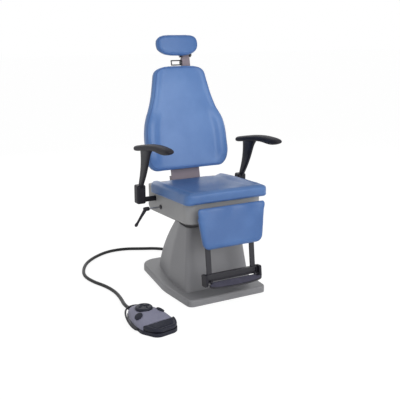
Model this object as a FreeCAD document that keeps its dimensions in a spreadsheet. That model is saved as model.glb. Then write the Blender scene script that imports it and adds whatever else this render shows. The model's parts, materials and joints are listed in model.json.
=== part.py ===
import FreeCAD, Part
import math
import os
from types import SimpleNamespace

from FreeCAD import Placement, Rotation, Vector

# Powered examination chair: a lift pedestal under a moulded cover, a swivelling seat, a
# reclining back with headrest, a legrest with folding footplate, two swinging armrests and
# a foot switch on its cable.  Millimetres and degrees.  The origin is the swivel axis at the
# floor, +Z up, the sitter faces -Y.

SIZES = {
    # base plate, cover and column
    "base_front": 325, "base_rear": 422, "base_half": 270, "base_half_front": 250,
    "base_half_rear": 216, "base_corner": 34, "base_rear_corner": 105,
    "flange_high": 42, "cover_wall": 4, "flange_round": 11, "cover_gap": 2,
    "plate_thick": 12, "plate_inset": 0.3, "anchor_hole": 6.5, "anchor_x": 380, "anchor_y": 480,
    "anchor_shift": 40,
    "column_top": 400, "column_front_low": 212, "column_front_top": 160,
    "column_rear_low": 310, "column_rear_top": 122, "column_half_low": 214,
    "column_half_top": 172, "column_narrow": 72, "column_corner": 28, "dome": 1.8,
    # lift column
    "tube_out": 120, "tube_wall": 5, "tube_high": 330, "inner_out": 100, "inner_low": 62,
    "slide_gap": 0.4, "flange_plate": 190, "flange_thick": 10, "bolt": 5, "bolt_place": 75,
    "sleeve_out": 150, "sleeve_low": 152, "sleeve_wall": 3, "sleeve_gap": 3,
    "swivel_level": 430, "swivel_radius": 110, "swivel_thick": 12, "bearing_thick": 6,
    "bearing_bore": 62, "spindle": 20, "run_fit": 0.05, "soft_gap": 0.3, "stroke": 200,
    "screw_tube": 20, "screw_rod": 12, "screw_gap": 0.5, "motor_high": 40, "motor_wide": 84,
    "motor_deep": 66, "screw_tube_top": 310, "rod_low": 80,
    # seat: tilted back about the swivel axis at the underside of its cushion
    "seat_level": 558, "seat_tilt": 2.5, "seat_half": 250, "seat_front": 316, "seat_rear": 172,
    "cushion_thick": 67, "board_thick": 12,
    "house_half": 241, "house_front": 286, "house_rear": 246, "house_deep": 119,
    "house_rise": 62, "house_slope_y": 194, "house_wall": 4, "house_gap": 1, "house_corner": 60,
    "house_round": 22, "collar_high": 40, "collar_y": 178, "collar_notch": 106,
    "rail_wide": 40, "rail_high": 40, "rail_place": 150, "rail_wall": 3,
    # recline
    "recline_y": 203, "recline_z": 15, "recline_lean": 10.3, "ear_thick": 8, "ear_place": 98,
    "recline_pin": 10, "ear_round": 18, "gear_radius": 20, "gear_long": 46, "gear_place": 106,
    "rail_rear": 172,
    # back
    "back_low": 95, "back_top": 704, "back_half": 268, "back_half_top": 172,
    "back_waist_low": 318, "back_waist_top": 528, "back_half_waist": 199,
    "back_face": 107, "back_rest": 49, "shell_deep": 29, "shell_inset": 20, "shell_wall": 4,
    "back_round": 55, "bracket_half": 95, "bracket_thick": 8, "bracket_top": 430,
    # headrest
    "head_x": 69, "bar_wide": 40, "bar_thick": 8, "bar_low": 400, "bar_face": 40,
    "block_wide": 55, "block_low": 708, "block_top": 758,
    "head_pivot_z": 770, "head_pivot_y": 39, "head_half": 134,
    "head_high": 122, "head_low": 763, "head_face": 108, "head_thick": 46,
    "head_plate_thick": 6, "head_pin": 6, "wire": 3.5, "wire_reach": 66, "wire_apart": 26,
    "wire_z": 731,
    # legrest
    "leg_y": 329, "leg_z": 44, "leg_lean": 4.5, "leg_half_top": 205, "leg_half_low": 179,
    "leg_top": 32, "leg_low": 196, "leg_face": 30, "leg_rear": 12, "leg_board": 12,
    "leg_rebate": 26, "leg_pin": 5, "leg_ear_round": 10, "leg_ear_place": 96,
    "strut_wide": 32, "strut_thick": 10, "strut_place": 140, "strut_top": 70,
    "strut_low": 342, "bar_deep": 24, "bar_high": 40, "foot_bar_half": 165, "cap_thick": 15,
    "foot_pivot_y": 6, "foot_pivot_z": 382, "foot_half": 148, "foot_deep": 58,
    "foot_drop": 10, "foot_thick": 12, "foot_pin": 4, "foot_wide": 167, "tread_thick": 3, "tread_inset": 7,
    # armrests
    "arm_y": 127, "arm_z": 29, "arm_x": 339, "arm_shaft": 15, "arm_block_wide": 54,
    "arm_block_deep": 54, "arm_block_set": 6, "arm_block_up": 92, "arm_block_down": 18, "stem_thick": 20,
    "stem_high": 300, "pad_wide": 56, "pad_rear": 22, "pad_front": 419,
    # lock lever
    "lock_y": 52, "lock_z": 69, "lock_rod": 5, "lock_hub": 12, "lock_hub_long": 36,
    "lock_hub_x": 314, "lock_handle": 142, "shoe_face": 105.5,
    # foot switch
    "switch_x": -527, "switch_y": -400, "switch_turn": 10, "switch_half": 102,
    "switch_front": 168, "switch_rear": 152, "switch_base": 22, "switch_wall": 3,
    "switch_mid": 48, "switch_high": 76, "pedal_y": 84, "pedal_pin": 3, "rocker": 45,
    "rocker_y": 48, "rocker_thick": 16, "button_x": 80, "button_y": 5, "button_long": 21,
    "button_wide": 15, "button_travel": 3, "key_gap": 1.0,
    "bail_wire": 5, "bail_y": 40, "bail_z": 12,
    # cable
    "cable_radius": 10, "cable_floor": 0.2, "base_gland_x": 94,
    "base_gland_z": 25.2,
}

doc = FreeCAD.newDocument("ExaminationChair")
sheet = doc.addObject("Spreadsheet::Sheet", "Sizes")


def number(item):
    return item.value if isinstance(item, Size) else float(item)


def words(item):
    return item.text if isinstance(item, Size) else repr(float(item))


class Size:
    """A length or an angle: its value, and the sheet expression that it comes from."""

    def __init__(self, value, text):
        self.value = value
        self.text = text

    def __add__(self, other):
        return Size(self.value + number(other), f"({self.text} + {words(other)})")

    def __radd__(self, other):
        return Size(number(other) + self.value, f"({words(other)} + {self.text})")

    def __sub__(self, other):
        return Size(self.value - number(other), f"({self.text} - {words(other)})")

    def __rsub__(self, other):
        return Size(number(other) - self.value, f"({words(other)} - {self.text})")

    def __mul__(self, other):
        return Size(self.value * number(other), f"({self.text} * {words(other)})")

    def __rmul__(self, other):
        return Size(number(other) * self.value, f"({words(other)} * {self.text})")

    def __truediv__(self, other):
        return Size(self.value / number(other), f"({self.text} / {words(other)})")

    def __neg__(self):
        return Size(-self.value, f"(-{self.text})")


def sine(angle):
    return Size(math.sin(math.radians(angle.value)), f"sin({angle.text})")


def cosine(angle):
    return Size(math.cos(math.radians(angle.value)), f"cos({angle.text})")


def read_sheet():
    """Fill the sheet, and give each alias as a Size."""
    cells = {}
    for row, (alias, value) in enumerate(SIZES.items(), 1):
        sheet.set(f"A{row}", alias)
        sheet.set(f"B{row}", str(value))
        sheet.setAlias(f"B{row}", alias)
        cells[alias] = Size(float(value), f"Sizes.{alias}")
    doc.recompute()
    return SimpleNamespace(**cells)


S = read_sheet()


# ------------------------------------------------------------------ where each group stands

class Frame:
    """A group's own axes: its origin in the chair's side plane and its lean about +X."""

    def __init__(self, y=0, z=0, lean=None):
        self.y = y
        self.z = z
        self.lean = lean

    def point(self, y, z):
        """A point of this group, in the chair's axes."""
        if self.lean is None:
            return self.y + y, self.z + z
        return (self.y + y * cosine(self.lean) + z * sine(self.lean),
                self.z - y * sine(self.lean) + z * cosine(self.lean))

    def child(self, y, z, lean=None):
        """A group whose origin is a point of this one, leaning a further angle."""
        place_y, place_z = self.point(y, z)
        if lean is None:
            return Frame(place_y, place_z, self.lean)
        return Frame(place_y, place_z, self.lean + lean)


BASE = Frame()
SEAT = Frame(0, S.seat_level, S.seat_tilt)
BACK = SEAT.child(S.recline_y, S.recline_z, S.recline_lean)
HEAD = BACK.child(-S.head_pivot_y, S.head_pivot_z)
LEG = SEAT.child(-S.leg_y, -S.leg_z, S.leg_lean)
FOOT = Frame(*LEG.point(S.foot_pivot_y, -S.foot_pivot_z))
ARM = Frame(*SEAT.point(S.arm_y, -S.arm_z))
LOCK = Frame(*SEAT.point(S.lock_y, -S.lock_z))

made = []


def stand(item, frame):
    """Give a finished sub-part its group's place."""
    if frame.lean is not None:
        item.Placement = Placement(Vector(), Rotation(Vector(1, 0, 0), -number(frame.lean)))
        item.setExpression("Placement.Rotation.Angle", words(-frame.lean))
    item.setExpression("Placement.Base.y", words(frame.y))
    item.setExpression("Placement.Base.z", words(frame.z))


def sub_part(label, frame, *pieces):
    """Name a sub-part and stand it in its group; several pieces stay separate solids."""
    item = doc.addObject("Part::Compound", label)
    item.Links = list(pieces)
    item.Label = label
    stand(item, frame)
    made.append(item)
    return item


# ------------------------------------------------------------------ shapes

def move(item, at, turn=None):
    if turn is not None:
        item.Placement = Placement(Vector(), Rotation(Vector(*turn[0]), turn[1]))
    for letter, value in zip("xyz", at):
        item.setExpression(f"Placement.Base.{letter}", words(value))
    return item


def box(x, y, z):
    """A block between (low, high) along each axis."""
    item = doc.addObject("Part::Box", "Block")
    for side, (low, high) in zip(("Length", "Width", "Height"), (x, y, z)):
        item.setExpression(side, words(high - low))
    return move(item, (x[0], y[0], z[0]))


TURNS = {"X": ((0, 1, 0), 90), "Y": ((1, 0, 0), -90), "Z": None}


def rod(axis, radius, start, end, at):
    """A round bar along one axis, from start to end, through the other two coordinates."""
    item = doc.addObject("Part::Cylinder", "Rod")
    item.setExpression("Radius", words(radius))
    item.setExpression("Height", words(end - start))
    place = {"X": (start, at[0], at[1]), "Y": (at[0], start, at[1]), "Z": (at[0], at[1], start)}
    return move(item, place[axis], TURNS[axis])


def cone(radius_low, radius_high, start, end, at):
    """A round taper along Z."""
    item = doc.addObject("Part::Cone", "Taper")
    item.setExpression("Radius1", words(radius_low))
    item.setExpression("Radius2", words(radius_high))
    item.setExpression("Height", words(end - start))
    return move(item, (at[0], at[1], start))


def fuse(*pieces):
    item = doc.addObject("Part::MultiFuse", "Join")
    item.Shapes = list(pieces)
    item.Refine = True
    return item


def cut(base, *tools):
    item = doc.addObject("Part::Cut", "Cut")
    item.Base = base
    item.Tool = tools[0] if len(tools) == 1 else fuse(*tools)
    item.Refine = True
    return item


def common(first, second):
    item = doc.addObject("Part::Common", "Overlap")
    item.Base = first
    item.Tool = second
    item.Refine = True
    return item


def mirrored(item):
    """The same piece on the other side of the chair."""
    other = doc.addObject("Part::Mirroring", "Mirror")
    other.Source = item
    other.Normal = Vector(1, 0, 0)
    return other


def both(item):
    return item, mirrored(item)


def rounded(item, radius, keep):
    """Round the edges for which keep(edge) is true."""
    doc.recompute()
    edges = [index for index, edge in enumerate(item.Shape.Edges, 1) if keep(edge)]
    if not edges:
        raise ValueError(f"no edge to round on {item.Name}")
    fillet = doc.addObject("Part::Fillet", "Round")
    fillet.Base = item
    fillet.Edges = [(index, number(radius), number(radius)) for index in edges]
    return fillet


def along(letter, low=None, high=None):
    """Edges that run along one axis, at will only those whose middle lies between limits."""
    axis = "xyz".index(letter)

    def keep(edge):
        if len(edge.Vertexes) != 2 or edge.Curve.TypeId != "Part::GeomLine":
            return False
        step = edge.Vertexes[1].Point - edge.Vertexes[0].Point
        if abs(step[axis]) < 0.999 * step.Length:
            return False
        middle = edge.CenterOfMass
        return ((low is None or middle[1] >= number(low))
                and (high is None or middle[1] <= number(high)))

    return keep


def level(height):
    """Edges that lie flat at one height."""
    def keep(edge):
        box_of = edge.BoundBox
        return (abs(box_of.ZMax - number(height)) < 0.01
                and abs(box_of.ZMin - number(height)) < 0.01)

    return keep


PLANES = {"XY": "XY_Plane", "XZ": "XZ_Plane", "YZ": "YZ_Plane"}


def plate(label, plane, corners, low, high):
    """A body padded from an outline of straight sides.

    The outline lies in an origin plane and the pad runs along that plane's normal, from
    low to high in the chair's axes (the XZ plane's normal points to -Y)."""
    body = doc.addObject("PartDesign::Body", label)
    sketch = body.newObject("Sketcher::SketchObject", label + "_outline")
    origin = next(item for item in body.Origin.OriginFeatures if item.Role == PLANES[plane])
    sketch.AttachmentSupport = (origin, [""])
    sketch.MapMode = "FlatFace"
    start = -high if plane == "XZ" else low
    sketch.setExpression("AttachmentOffset.Base.z", words(start))
    points = [Vector(number(u), number(v), 0) for u, v in corners]
    for index, point in enumerate(points):
        following = points[(index + 1) % len(points)]
        sketch.addGeometry(Part.LineSegment(point, following), False)
    for index, (u, v) in enumerate(corners):
        after = (index + 1) % len(points)
        sketch.addConstraint(Sketcher.Constraint("Coincident", index, 2, after, 1))
        for kind, value in (("DistanceX", u), ("DistanceY", v)):
            row = sketch.addConstraint(
                Sketcher.Constraint(kind, -1, 1, index, 1, number(value)))
            if isinstance(value, Size):
                sketch.setExpression(f"Constraints[{row}]", words(value))
    pad = body.newObject("PartDesign::Pad", label + "_pad")
    pad.Profile = sketch
    pad.setExpression("Length", words(high - low))
    doc.recompute()
    return body


def free_shape(shape):
    item = doc.addObject("Part::Feature", "Form")
    item.Shape = shape
    return item


def outline(corners, z=0.0):
    """A closed wire through (x, y, radius) corners, each rounded by its radius."""
    count = len(corners)
    edges = []
    last = None
    first = None
    for index, (x, y, radius) in enumerate(corners):
        here = Vector(number(x), number(y), z)
        before = Vector(number(corners[index - 1][0]), number(corners[index - 1][1]), z)
        ahead = corners[(index + 1) % count]
        after = Vector(number(ahead[0]), number(ahead[1]), z)
        back = (before - here).normalize()
        on = (after - here).normalize()
        half = back.getAngle(on) / 2
        reach = number(radius) / math.tan(half)
        start = here + back * reach
        end = here + on * reach
        middle = (back + on).normalize()
        centre = here + middle * (number(radius) / math.sin(half))
        knee = centre - middle * number(radius)
        if last is not None:
            edges.append(Part.LineSegment(last, start).toShape())
        else:
            first = start
        edges.append(Part.Arc(start, knee, end).toShape())
        last = end
    edges.append(Part.LineSegment(last, first).toShape())
    return Part.Wire(Part.__sortEdges__(edges))


def slab(corners, low, high):
    """An upright slab with a rounded outline."""
    face = Part.Face(outline(corners, number(low)))
    return face.extrude(Vector(0, 0, number(high) - number(low)))


def facing(shape):
    """Turn a slab made flat, so that its outline's y runs up +Z and its height to -Y."""
    turned = shape.copy()
    turned.rotate(Vector(), Vector(1, 0, 0), 90)
    return turned


def soften(shape, radius, keep):
    return shape.makeFillet(number(radius), [edge for edge in shape.Edges if keep(edge)])


def mirror_corners(half_side):
    """Corners of the right half, front first, completed with their mirror images."""
    left = [(-number(x), y, radius) for x, y, radius in reversed(half_side)]
    return [(number(x), y, radius) for x, y, radius in half_side] + left


import Sketcher


# ------------------------------------------------------------------ base

def base_corners(inset):
    """The base's plan: straight front, bowed sides, narrower rounded rear."""
    return mirror_corners([
        (S.base_half_front - inset, -S.base_front + inset, S.base_corner - inset),
        (S.base_half - inset, -S.base_front * 0.1, 420),
        (S.base_half_rear - inset, S.base_rear - inset, S.base_rear_corner - inset),
    ])


def column_corners(share, inset):
    """The cover's plan at a share of its height: the rear draws in like a dome."""
    drawn = share ** S.dome.value
    front = S.column_front_low + (S.column_front_top - S.column_front_low) * share
    rear = S.column_rear_low + (S.column_rear_top - S.column_rear_low) * drawn
    half = S.column_half_low + (S.column_half_top - S.column_half_low) * share
    return mirror_corners([
        (half - inset, -front + inset, S.column_corner - inset),
        (half - inset - 6, (rear - front) / 2 - 20, 150),
        (half - S.column_narrow - inset, rear - inset, 60 - number(inset)),
    ])


def column_form(inset, low, top):
    steps = 5
    wires = []
    for step in range(steps):
        share = step / (steps - 1)
        z = number(low) + (number(top) - number(low)) * share
        wires.append(outline(column_corners(share, inset), z))
    return Part.makeLoft(wires, True, False)


def make_base_cover():
    flange = slab(base_corners(0), S.cover_gap, S.flange_high)
    flange = soften(flange, S.flange_round, level(S.flange_high))
    join = S.flange_high - 1
    outer = flange.fuse(column_form(0, join, S.column_top)).removeSplitter()
    inner = slab(base_corners(S.cover_wall), S.cover_gap, S.flange_high - S.cover_wall)
    inside = column_form(S.cover_wall, join - S.cover_wall, S.column_top - S.cover_wall)
    shell = outer.cut(inner.fuse(inside))
    hole = number(S.sleeve_out / 2 + S.sleeve_gap)
    shell = shell.cut(Part.makeBox(2 * hole, 2 * hole, 60,
                                   Vector(-hole, -hole, number(S.column_top) - 30)))
    cover = free_shape(shell)
    gland_hole = rod("Y", S.cable_radius + 1.5, S.base_rear - 20, S.base_rear + 20,
                     (S.base_gland_x, S.base_gland_z))
    sub_part("base_cover", BASE, cut(cover, gland_hole))


def make_base():
    plate_form = free_shape(slab(base_corners(S.cover_wall + S.plate_inset), 0, S.plate_thick))
    holes = []
    for x in (-1, 1):
        for y in (-1, 1):
            holes.append(rod("Z", S.anchor_hole, -1, S.plate_thick + 1,
                             (x * S.anchor_x / 2, y * S.anchor_y / 2 + S.anchor_shift)))
            holes.append(rod("Z", S.bolt + S.run_fit, -1, S.plate_thick + 1,
                             (x * S.bolt_place, y * S.bolt_place)))
    sub_part("base_plate", BASE, cut(plate_form, *holes))
    make_base_cover()


def square_tube(half, wall, low, high):
    outer = box((-half, half), (-half, half), (low, high))
    hole = half - wall
    inner = box((-hole, hole), (-hole, hole), (low - 1, high + 1))
    return outer, inner


def make_lift():
    half = S.tube_out / 2
    foot = S.plate_thick + S.flange_thick
    outer, inner = square_tube(half, S.tube_wall, S.plate_thick, S.tube_high)
    flange_half = S.flange_plate / 2
    flange = box((-flange_half, flange_half), (-flange_half, flange_half),
                 (S.plate_thick, foot))
    holes = [rod("Z", S.bolt + S.run_fit, S.plate_thick - 1, foot + 1,
                 (x * S.bolt_place, y * S.bolt_place)) for x in (-1, 1) for y in (-1, 1)]
    sub_part("lift_outer_tube", BASE, cut(fuse(outer, flange), inner, *holes))
    screws = []
    for x in (-1, 1):
        for y in (-1, 1):
            spot = (x * S.bolt_place, y * S.bolt_place)
            shank = rod("Z", S.bolt, 1, foot, spot)
            head = rod("Z", S.bolt * 1.7, foot, foot + 7, spot)
            socket = rod("Z", S.bolt * 0.8, foot + 3, foot + 8, spot)
            screws.append(cut(fuse(shank, head), socket))
    sub_part("column_screws", BASE, *screws)

    motor_low = S.plate_thick
    motor_top = motor_low + S.motor_high
    motor = box((-S.motor_wide / 2, S.motor_wide / 2), (-S.motor_deep / 2, S.motor_deep / 2),
                (motor_low, motor_top))
    ring = rod("Z", S.screw_tube, motor_top, S.screw_tube_top, (0, 0))
    bore = rod("Z", S.screw_rod + S.screw_gap, motor_top + 4, S.screw_tube_top + 1, (0, 0))
    sub_part("lift_actuator", BASE, cut(fuse(rounded(motor, 6, along("z")), ring), bore))

    inner_half = S.inner_out / 2
    tube, hole = square_tube(inner_half, S.tube_wall, S.inner_low, S.swivel_level)
    sub_part("lift_inner_tube", BASE, cut(tube, hole))
    pads = []
    pad_out = half - S.tube_wall - S.slide_gap
    for x, y in ((1, 0), (-1, 0), (0, 1), (0, -1)):
        if x:
            low, high = (inner_half, pad_out) if x > 0 else (-pad_out, -inner_half)
            pads.append(box((low, high), (-30, 30), (S.inner_low + 4, S.inner_low + 44)))
        else:
            low, high = (inner_half, pad_out) if y > 0 else (-pad_out, -inner_half)
            pads.append(box((-30, 30), (low, high), (S.inner_low + 4, S.inner_low + 44)))
    sub_part("slide_pads", BASE, *pads)
    sub_part("lift_rod", BASE, rod("Z", S.screw_rod, S.rod_low, S.swivel_level, (0, 0)))
    sleeve, sleeve_hole = square_tube(S.sleeve_out / 2, S.sleeve_wall, S.sleeve_low,
                                      S.swivel_level)
    sub_part("lift_sleeve", BASE, cut(rounded(sleeve, 14, along("z")),
                                      rounded(sleeve_hole, 11, along("z"))))

    disc = rod("Z", S.swivel_radius, S.swivel_level, S.swivel_level + S.swivel_thick, (0, 0))
    spindle = rod("Z", S.spindle, S.swivel_level, S.swivel_level + 42, (0, 0))
    sub_part("swivel_plate", BASE, fuse(disc, spindle))
    race_low = S.swivel_level + S.swivel_thick
    race = rod("Z", S.swivel_radius - 8, race_low, race_low + S.bearing_thick, (0, 0))
    race_hole = rod("Z", S.bearing_bore, race_low - 1, race_low + S.bearing_thick + 1, (0, 0))
    sub_part("thrust_bearing", BASE, cut(race, race_hole))


def make_electrics():
    low = S.plate_thick
    case = rounded(box((-70, 70), (100, 220), (low, low + 70)), 5, along("z"))
    sub_part("control_box", BASE, case)
    gland_y = S.base_rear - S.cover_wall
    spot = (S.base_gland_x, S.base_gland_z)
    nut = rod("Y", S.cable_radius + 2.6, gland_y - 7.5, gland_y, spot)
    neck = rod("Y", S.cable_radius + 1.2, gland_y, gland_y + S.cover_wall, spot)
    flange = rod("Y", S.cable_radius + 3.5, gland_y + S.cover_wall, gland_y + 12, spot)
    boot = rod("Y", S.cable_radius + 3, gland_y + 12, gland_y + 30, spot)
    sub_part("cable_gland", BASE, fuse(nut, neck, flange, boot))


# ------------------------------------------------------------------ seat

def house_side(inset):
    """The seat housing seen from the side, as (y, z) corners."""
    return [
        (-S.house_front + inset, -S.house_gap),
        (-S.house_front + inset, -S.house_deep + inset),
        (S.house_slope_y, -S.house_deep + inset),
        (S.house_rear - inset, -S.house_deep + S.house_rise + inset * 0.6),
        (S.house_rear - inset, S.collar_high - inset),
        (S.collar_y + inset, S.collar_high - inset),
        (S.collar_y + inset, -S.house_gap),
    ]


def house_form(inset, bottom=None):
    side = [Vector(0, number(y), number(z)) for y, z in house_side(inset)]
    half = number(S.house_half) - number(inset)
    wire = Part.makePolygon(side + side[:1])
    wire.translate(Vector(-half, 0, 0))
    form = Part.Face(wire).extrude(Vector(2 * half, 0, 0))
    front = number(S.house_front) - number(inset)
    form = soften(form, S.house_corner - inset, lambda edge: (
        along("z")(edge) and edge.CenterOfMass.y < -front + 1))
    if bottom is not None:
        form = soften(form, bottom, level(-S.house_deep + inset))
    form = soften(form, S.house_corner - inset - 20, lambda edge: (
        abs(abs(edge.CenterOfMass.x) - half) < 0.5
        and abs(edge.CenterOfMass.y - number(S.house_rear - inset)) < 0.5
        and along("z")(edge)))
    return form


def make_housing():
    outer = house_form(Size(0.0, "0"), S.house_round)
    inner = house_form(S.house_wall)
    roof = number(S.house_half) - number(S.house_wall)
    mouth = Part.makeBox(2 * roof, number(S.house_front + S.collar_y - S.house_wall), 40,
                         Vector(-roof, -number(S.house_front) + number(S.house_wall),
                                -number(S.board_thick) - 20))
    mouth = soften(mouth, S.house_corner - S.house_wall, lambda edge: (
        along("z")(edge) and edge.CenterOfMass.y < 0))
    shell = free_shape(outer.cut(inner).cut(mouth))
    notch = box((-S.collar_notch, S.collar_notch), (S.collar_y - 5, S.house_rear + 5),
                (-8, S.collar_high + 5))
    well = box((-128, 128), (-128, 128), (-S.house_deep - 10, -S.house_deep + 30))
    arm_holes = rod("X", S.arm_shaft + 2, -S.house_half - 5, S.house_half + 5,
                    (S.arm_y, -S.arm_z))
    lock_hole = rod("X", S.lock_rod + 6, -S.house_half - 5, -S.house_half + 20,
                    (S.lock_y, -S.lock_z))
    slots = []
    for side in (-1, 1):
        middle = side * (S.leg_ear_place + S.ear_thick / 2)
        slots.append(box((middle - S.ear_thick, middle + S.ear_thick),
                         (-S.house_front - 5, -S.house_front + 20),
                         (-S.leg_z - S.leg_ear_round - 4, -S.leg_z + S.leg_ear_round + 4)))
    sub_part("seat_housing", SEAT, cut(shell, notch, well, arm_holes, lock_hole, *slots))


def rail_box(x, y, z):
    """A hollow rail, as the outer block and the block that hollows it."""
    wall = S.rail_wall
    outer = box(x, y, z)
    inner = box((x[0] + wall, x[1] - wall), (y[0] - 1, y[1] + 1), (z[0] + wall, z[1] - wall))
    return outer, inner


def ear(place, thick, y, z, radius, root, bore):
    """A hinge ear across X: a block from its root to the pin's centre, rounded at the pin."""
    low, high = place, place + thick
    web = box((low, high), root[0], root[1])
    boss = rod("X", radius, low, high, (y, z))
    hole = rod("X", bore, low - 1, high + 1, (y, z))
    return cut(fuse(web, boss), hole)


def make_seat_frame():
    top = -S.board_thick
    low = top - S.rail_high
    solids = []
    holes = []
    for side in (-1, 1):
        middle = side * S.rail_place
        outer, inner = rail_box((middle - S.rail_wide / 2, middle + S.rail_wide / 2),
                                (-S.house_front + 24, S.rail_rear), (low, top))
        solids.append(outer)
        holes.append(inner)
    reach = S.rail_place - S.rail_wide / 2
    for y in (-S.house_front + 24, -130, 90, S.rail_rear - 20):
        solids.append(box((-reach, reach), (y, y + 20), (low, top)))
    deck = box((-reach, reach), (-110, 90), (low, low + 8))
    frame = cut(fuse(*solids, deck), *holes)
    stand(frame, SEAT)
    hub_low = S.swivel_level + S.swivel_thick + S.bearing_thick
    hub = rod("Z", S.swivel_radius - 8, hub_low, hub_low + 10, (0, 0))
    riser = rod("Z", S.spindle + 28, hub_low, S.seat_level + low + 4, (0, 0))
    bore = rod("Z", S.spindle + S.run_fit, hub_low - 1, hub_low + 26, (0, 0))
    ears = []
    for side in (-1, 1):
        start = S.ear_place if side > 0 else -S.ear_place - S.ear_thick
        ears.append(ear(start, S.ear_thick, S.recline_y, S.recline_z, S.ear_round,
                        ((S.rail_rear - 20, S.recline_y + S.ear_round),
                         (low, top - 1)), S.recline_pin + S.run_fit))
        ears.append(cut(box((start, start + S.ear_thick),
                            (S.collar_y + S.house_wall + 1, S.recline_y + S.ear_round),
                            (top - 2, S.recline_z)),
                        rod("X", S.recline_pin + S.run_fit, start - 1,
                            start + S.ear_thick + 1, (S.recline_y, S.recline_z))))
        start = S.leg_ear_place if side > 0 else -S.leg_ear_place - S.ear_thick
        ears.append(ear(start, S.ear_thick, -S.leg_y, -S.leg_z, S.leg_ear_round,
                        ((-S.leg_y, -S.house_front + 30),
                         (-S.leg_z - S.leg_ear_round, -S.leg_z + S.leg_ear_round)),
                        S.leg_pin + S.run_fit))
    lugs = fuse(*ears)
    stand(lugs, SEAT)
    whole = cut(fuse(frame, hub, riser, lugs), bore)
    whole.Label = "seat_frame"
    made.append(whole)


def make_seat_trim():
    top = -S.board_thick
    gap = S.house_wall + 1
    corner = S.house_corner - gap
    board = free_shape(slab(mirror_corners([
        (S.house_half - gap, -S.house_front + gap, corner),
        (S.house_half - gap, S.collar_y - S.house_wall - 6, 10),
    ]), top, 0))
    sub_part("seat_board", SEAT, board)
    cushion = slab(mirror_corners([
        (S.seat_half, -S.seat_front, 42),
        (S.seat_half, S.seat_rear, 45),
    ]), S.soft_gap * 0, S.cushion_thick)
    cushion = soften(cushion, 20, level(S.cushion_thick))
    cushion = soften(cushion, 8, level(0))
    sub_part("seat_cushion", SEAT, free_shape(cushion))

    start = S.gear_place
    gear = rod("X", S.gear_radius, start, start + S.gear_long, (S.recline_y, S.recline_z))
    motor = rod("Z", S.gear_radius, -S.house_deep + 46, S.recline_z,
                (start + S.gear_long / 2, S.recline_y))
    bore = rod("X", S.recline_pin + S.run_fit, start - 1, start + S.gear_long + 1,
               (S.recline_y, S.recline_z))
    sub_part("recline_gearmotor", SEAT, cut(fuse(gear, motor), bore))

    shaft = rod("X", S.arm_shaft, S.rail_place + S.rail_wide / 2,
                S.arm_x - S.arm_block_wide / 2 + 36, (S.arm_y, -S.arm_z))
    sub_part("arm_shafts", SEAT, *both(shaft))
    leg_pins = []
    for side in (-1, 1):
        inner = S.leg_ear_place - 2
        outer = S.leg_ear_place + 2 * S.ear_thick + 6
        low, high = (inner, outer) if side > 0 else (-outer, -inner)
        leg_pins.append(rod("X", S.leg_pin, low, high, (-S.leg_y, -S.leg_z)))
    sub_part("leg_pins", SEAT, *leg_pins)

    bush = rod("X", S.lock_rod + 9, -S.house_half - 3, -S.house_half, (S.lock_y, -S.lock_z))
    neck = rod("X", S.lock_rod + 6, -S.house_half, -S.house_half + S.house_wall,
               (S.lock_y, -S.lock_z))
    bore = rod("X", S.lock_rod + S.run_fit, -S.house_half - 5, -S.house_half + 10,
               (S.lock_y, -S.lock_z))
    sub_part("lock_bush", SEAT, cut(fuse(bush, neck), bore))
    shoe_top = -S.board_thick - S.rail_high
    shoe = box((-S.rail_place - 12, -S.shoe_face), (S.lock_y - 12, S.lock_y + 12),
               (-S.house_deep + S.house_wall + 1, shoe_top))
    toe = box((-S.shoe_face - 21, -S.shoe_face), (S.lock_y - 12, S.lock_y + 12),
              (-S.house_deep - 8, -S.house_deep + 20))
    well = rod("X", S.lock_rod + S.run_fit, -S.rail_place - 20, -S.rail_place + 8,
               (S.lock_y, -S.lock_z))
    sub_part("brake_shoe", SEAT, cut(fuse(shoe, toe), well))


def make_lock():
    tip = -S.rail_place + 8
    rod_bar = rod("X", S.lock_rod, -S.lock_hub_x - 10, tip - 0.5, (0, 0))
    sub_part("lock_rod", LOCK, rod_bar)
    hub_start = -S.lock_hub_x - S.lock_hub_long
    hub = rod("X", S.lock_hub, hub_start, -S.lock_hub_x, (0, 0))
    bore = rod("X", S.lock_rod, -S.lock_hub_x - 10, -S.lock_hub_x + 1, (0, 0))
    handle = doc.addObject("Part::Cone", "Taper")
    handle.setExpression("Radius1", words(S.lock_hub - 1))
    handle.setExpression("Radius2", words(S.lock_hub * 0.5))
    handle.setExpression("Height", words(S.lock_handle))
    handle.Placement = Placement(Vector(), Rotation(Vector(0, 0, 1), Vector(-25, 81, -114)))
    handle.setExpression("Placement.Base.x", words(hub_start + 12))
    sub_part("lock_handle", LOCK, cut(fuse(hub, handle), bore))


# ------------------------------------------------------------------ back and headrest

def back_corners(inset, low_inset=0):
    """The back's outline from the front: wide hips, drawn-in shoulders, round corners."""
    return mirror_corners([
        (S.back_half - 12 - inset, S.back_low + inset, S.back_round - inset),
        (S.back_half - inset, S.back_waist_low - 60, 120),
        (S.back_half_waist - inset, S.back_waist_top, 160),
        (S.back_half_top - inset, S.back_top - inset, S.back_round - inset),
    ])


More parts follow.
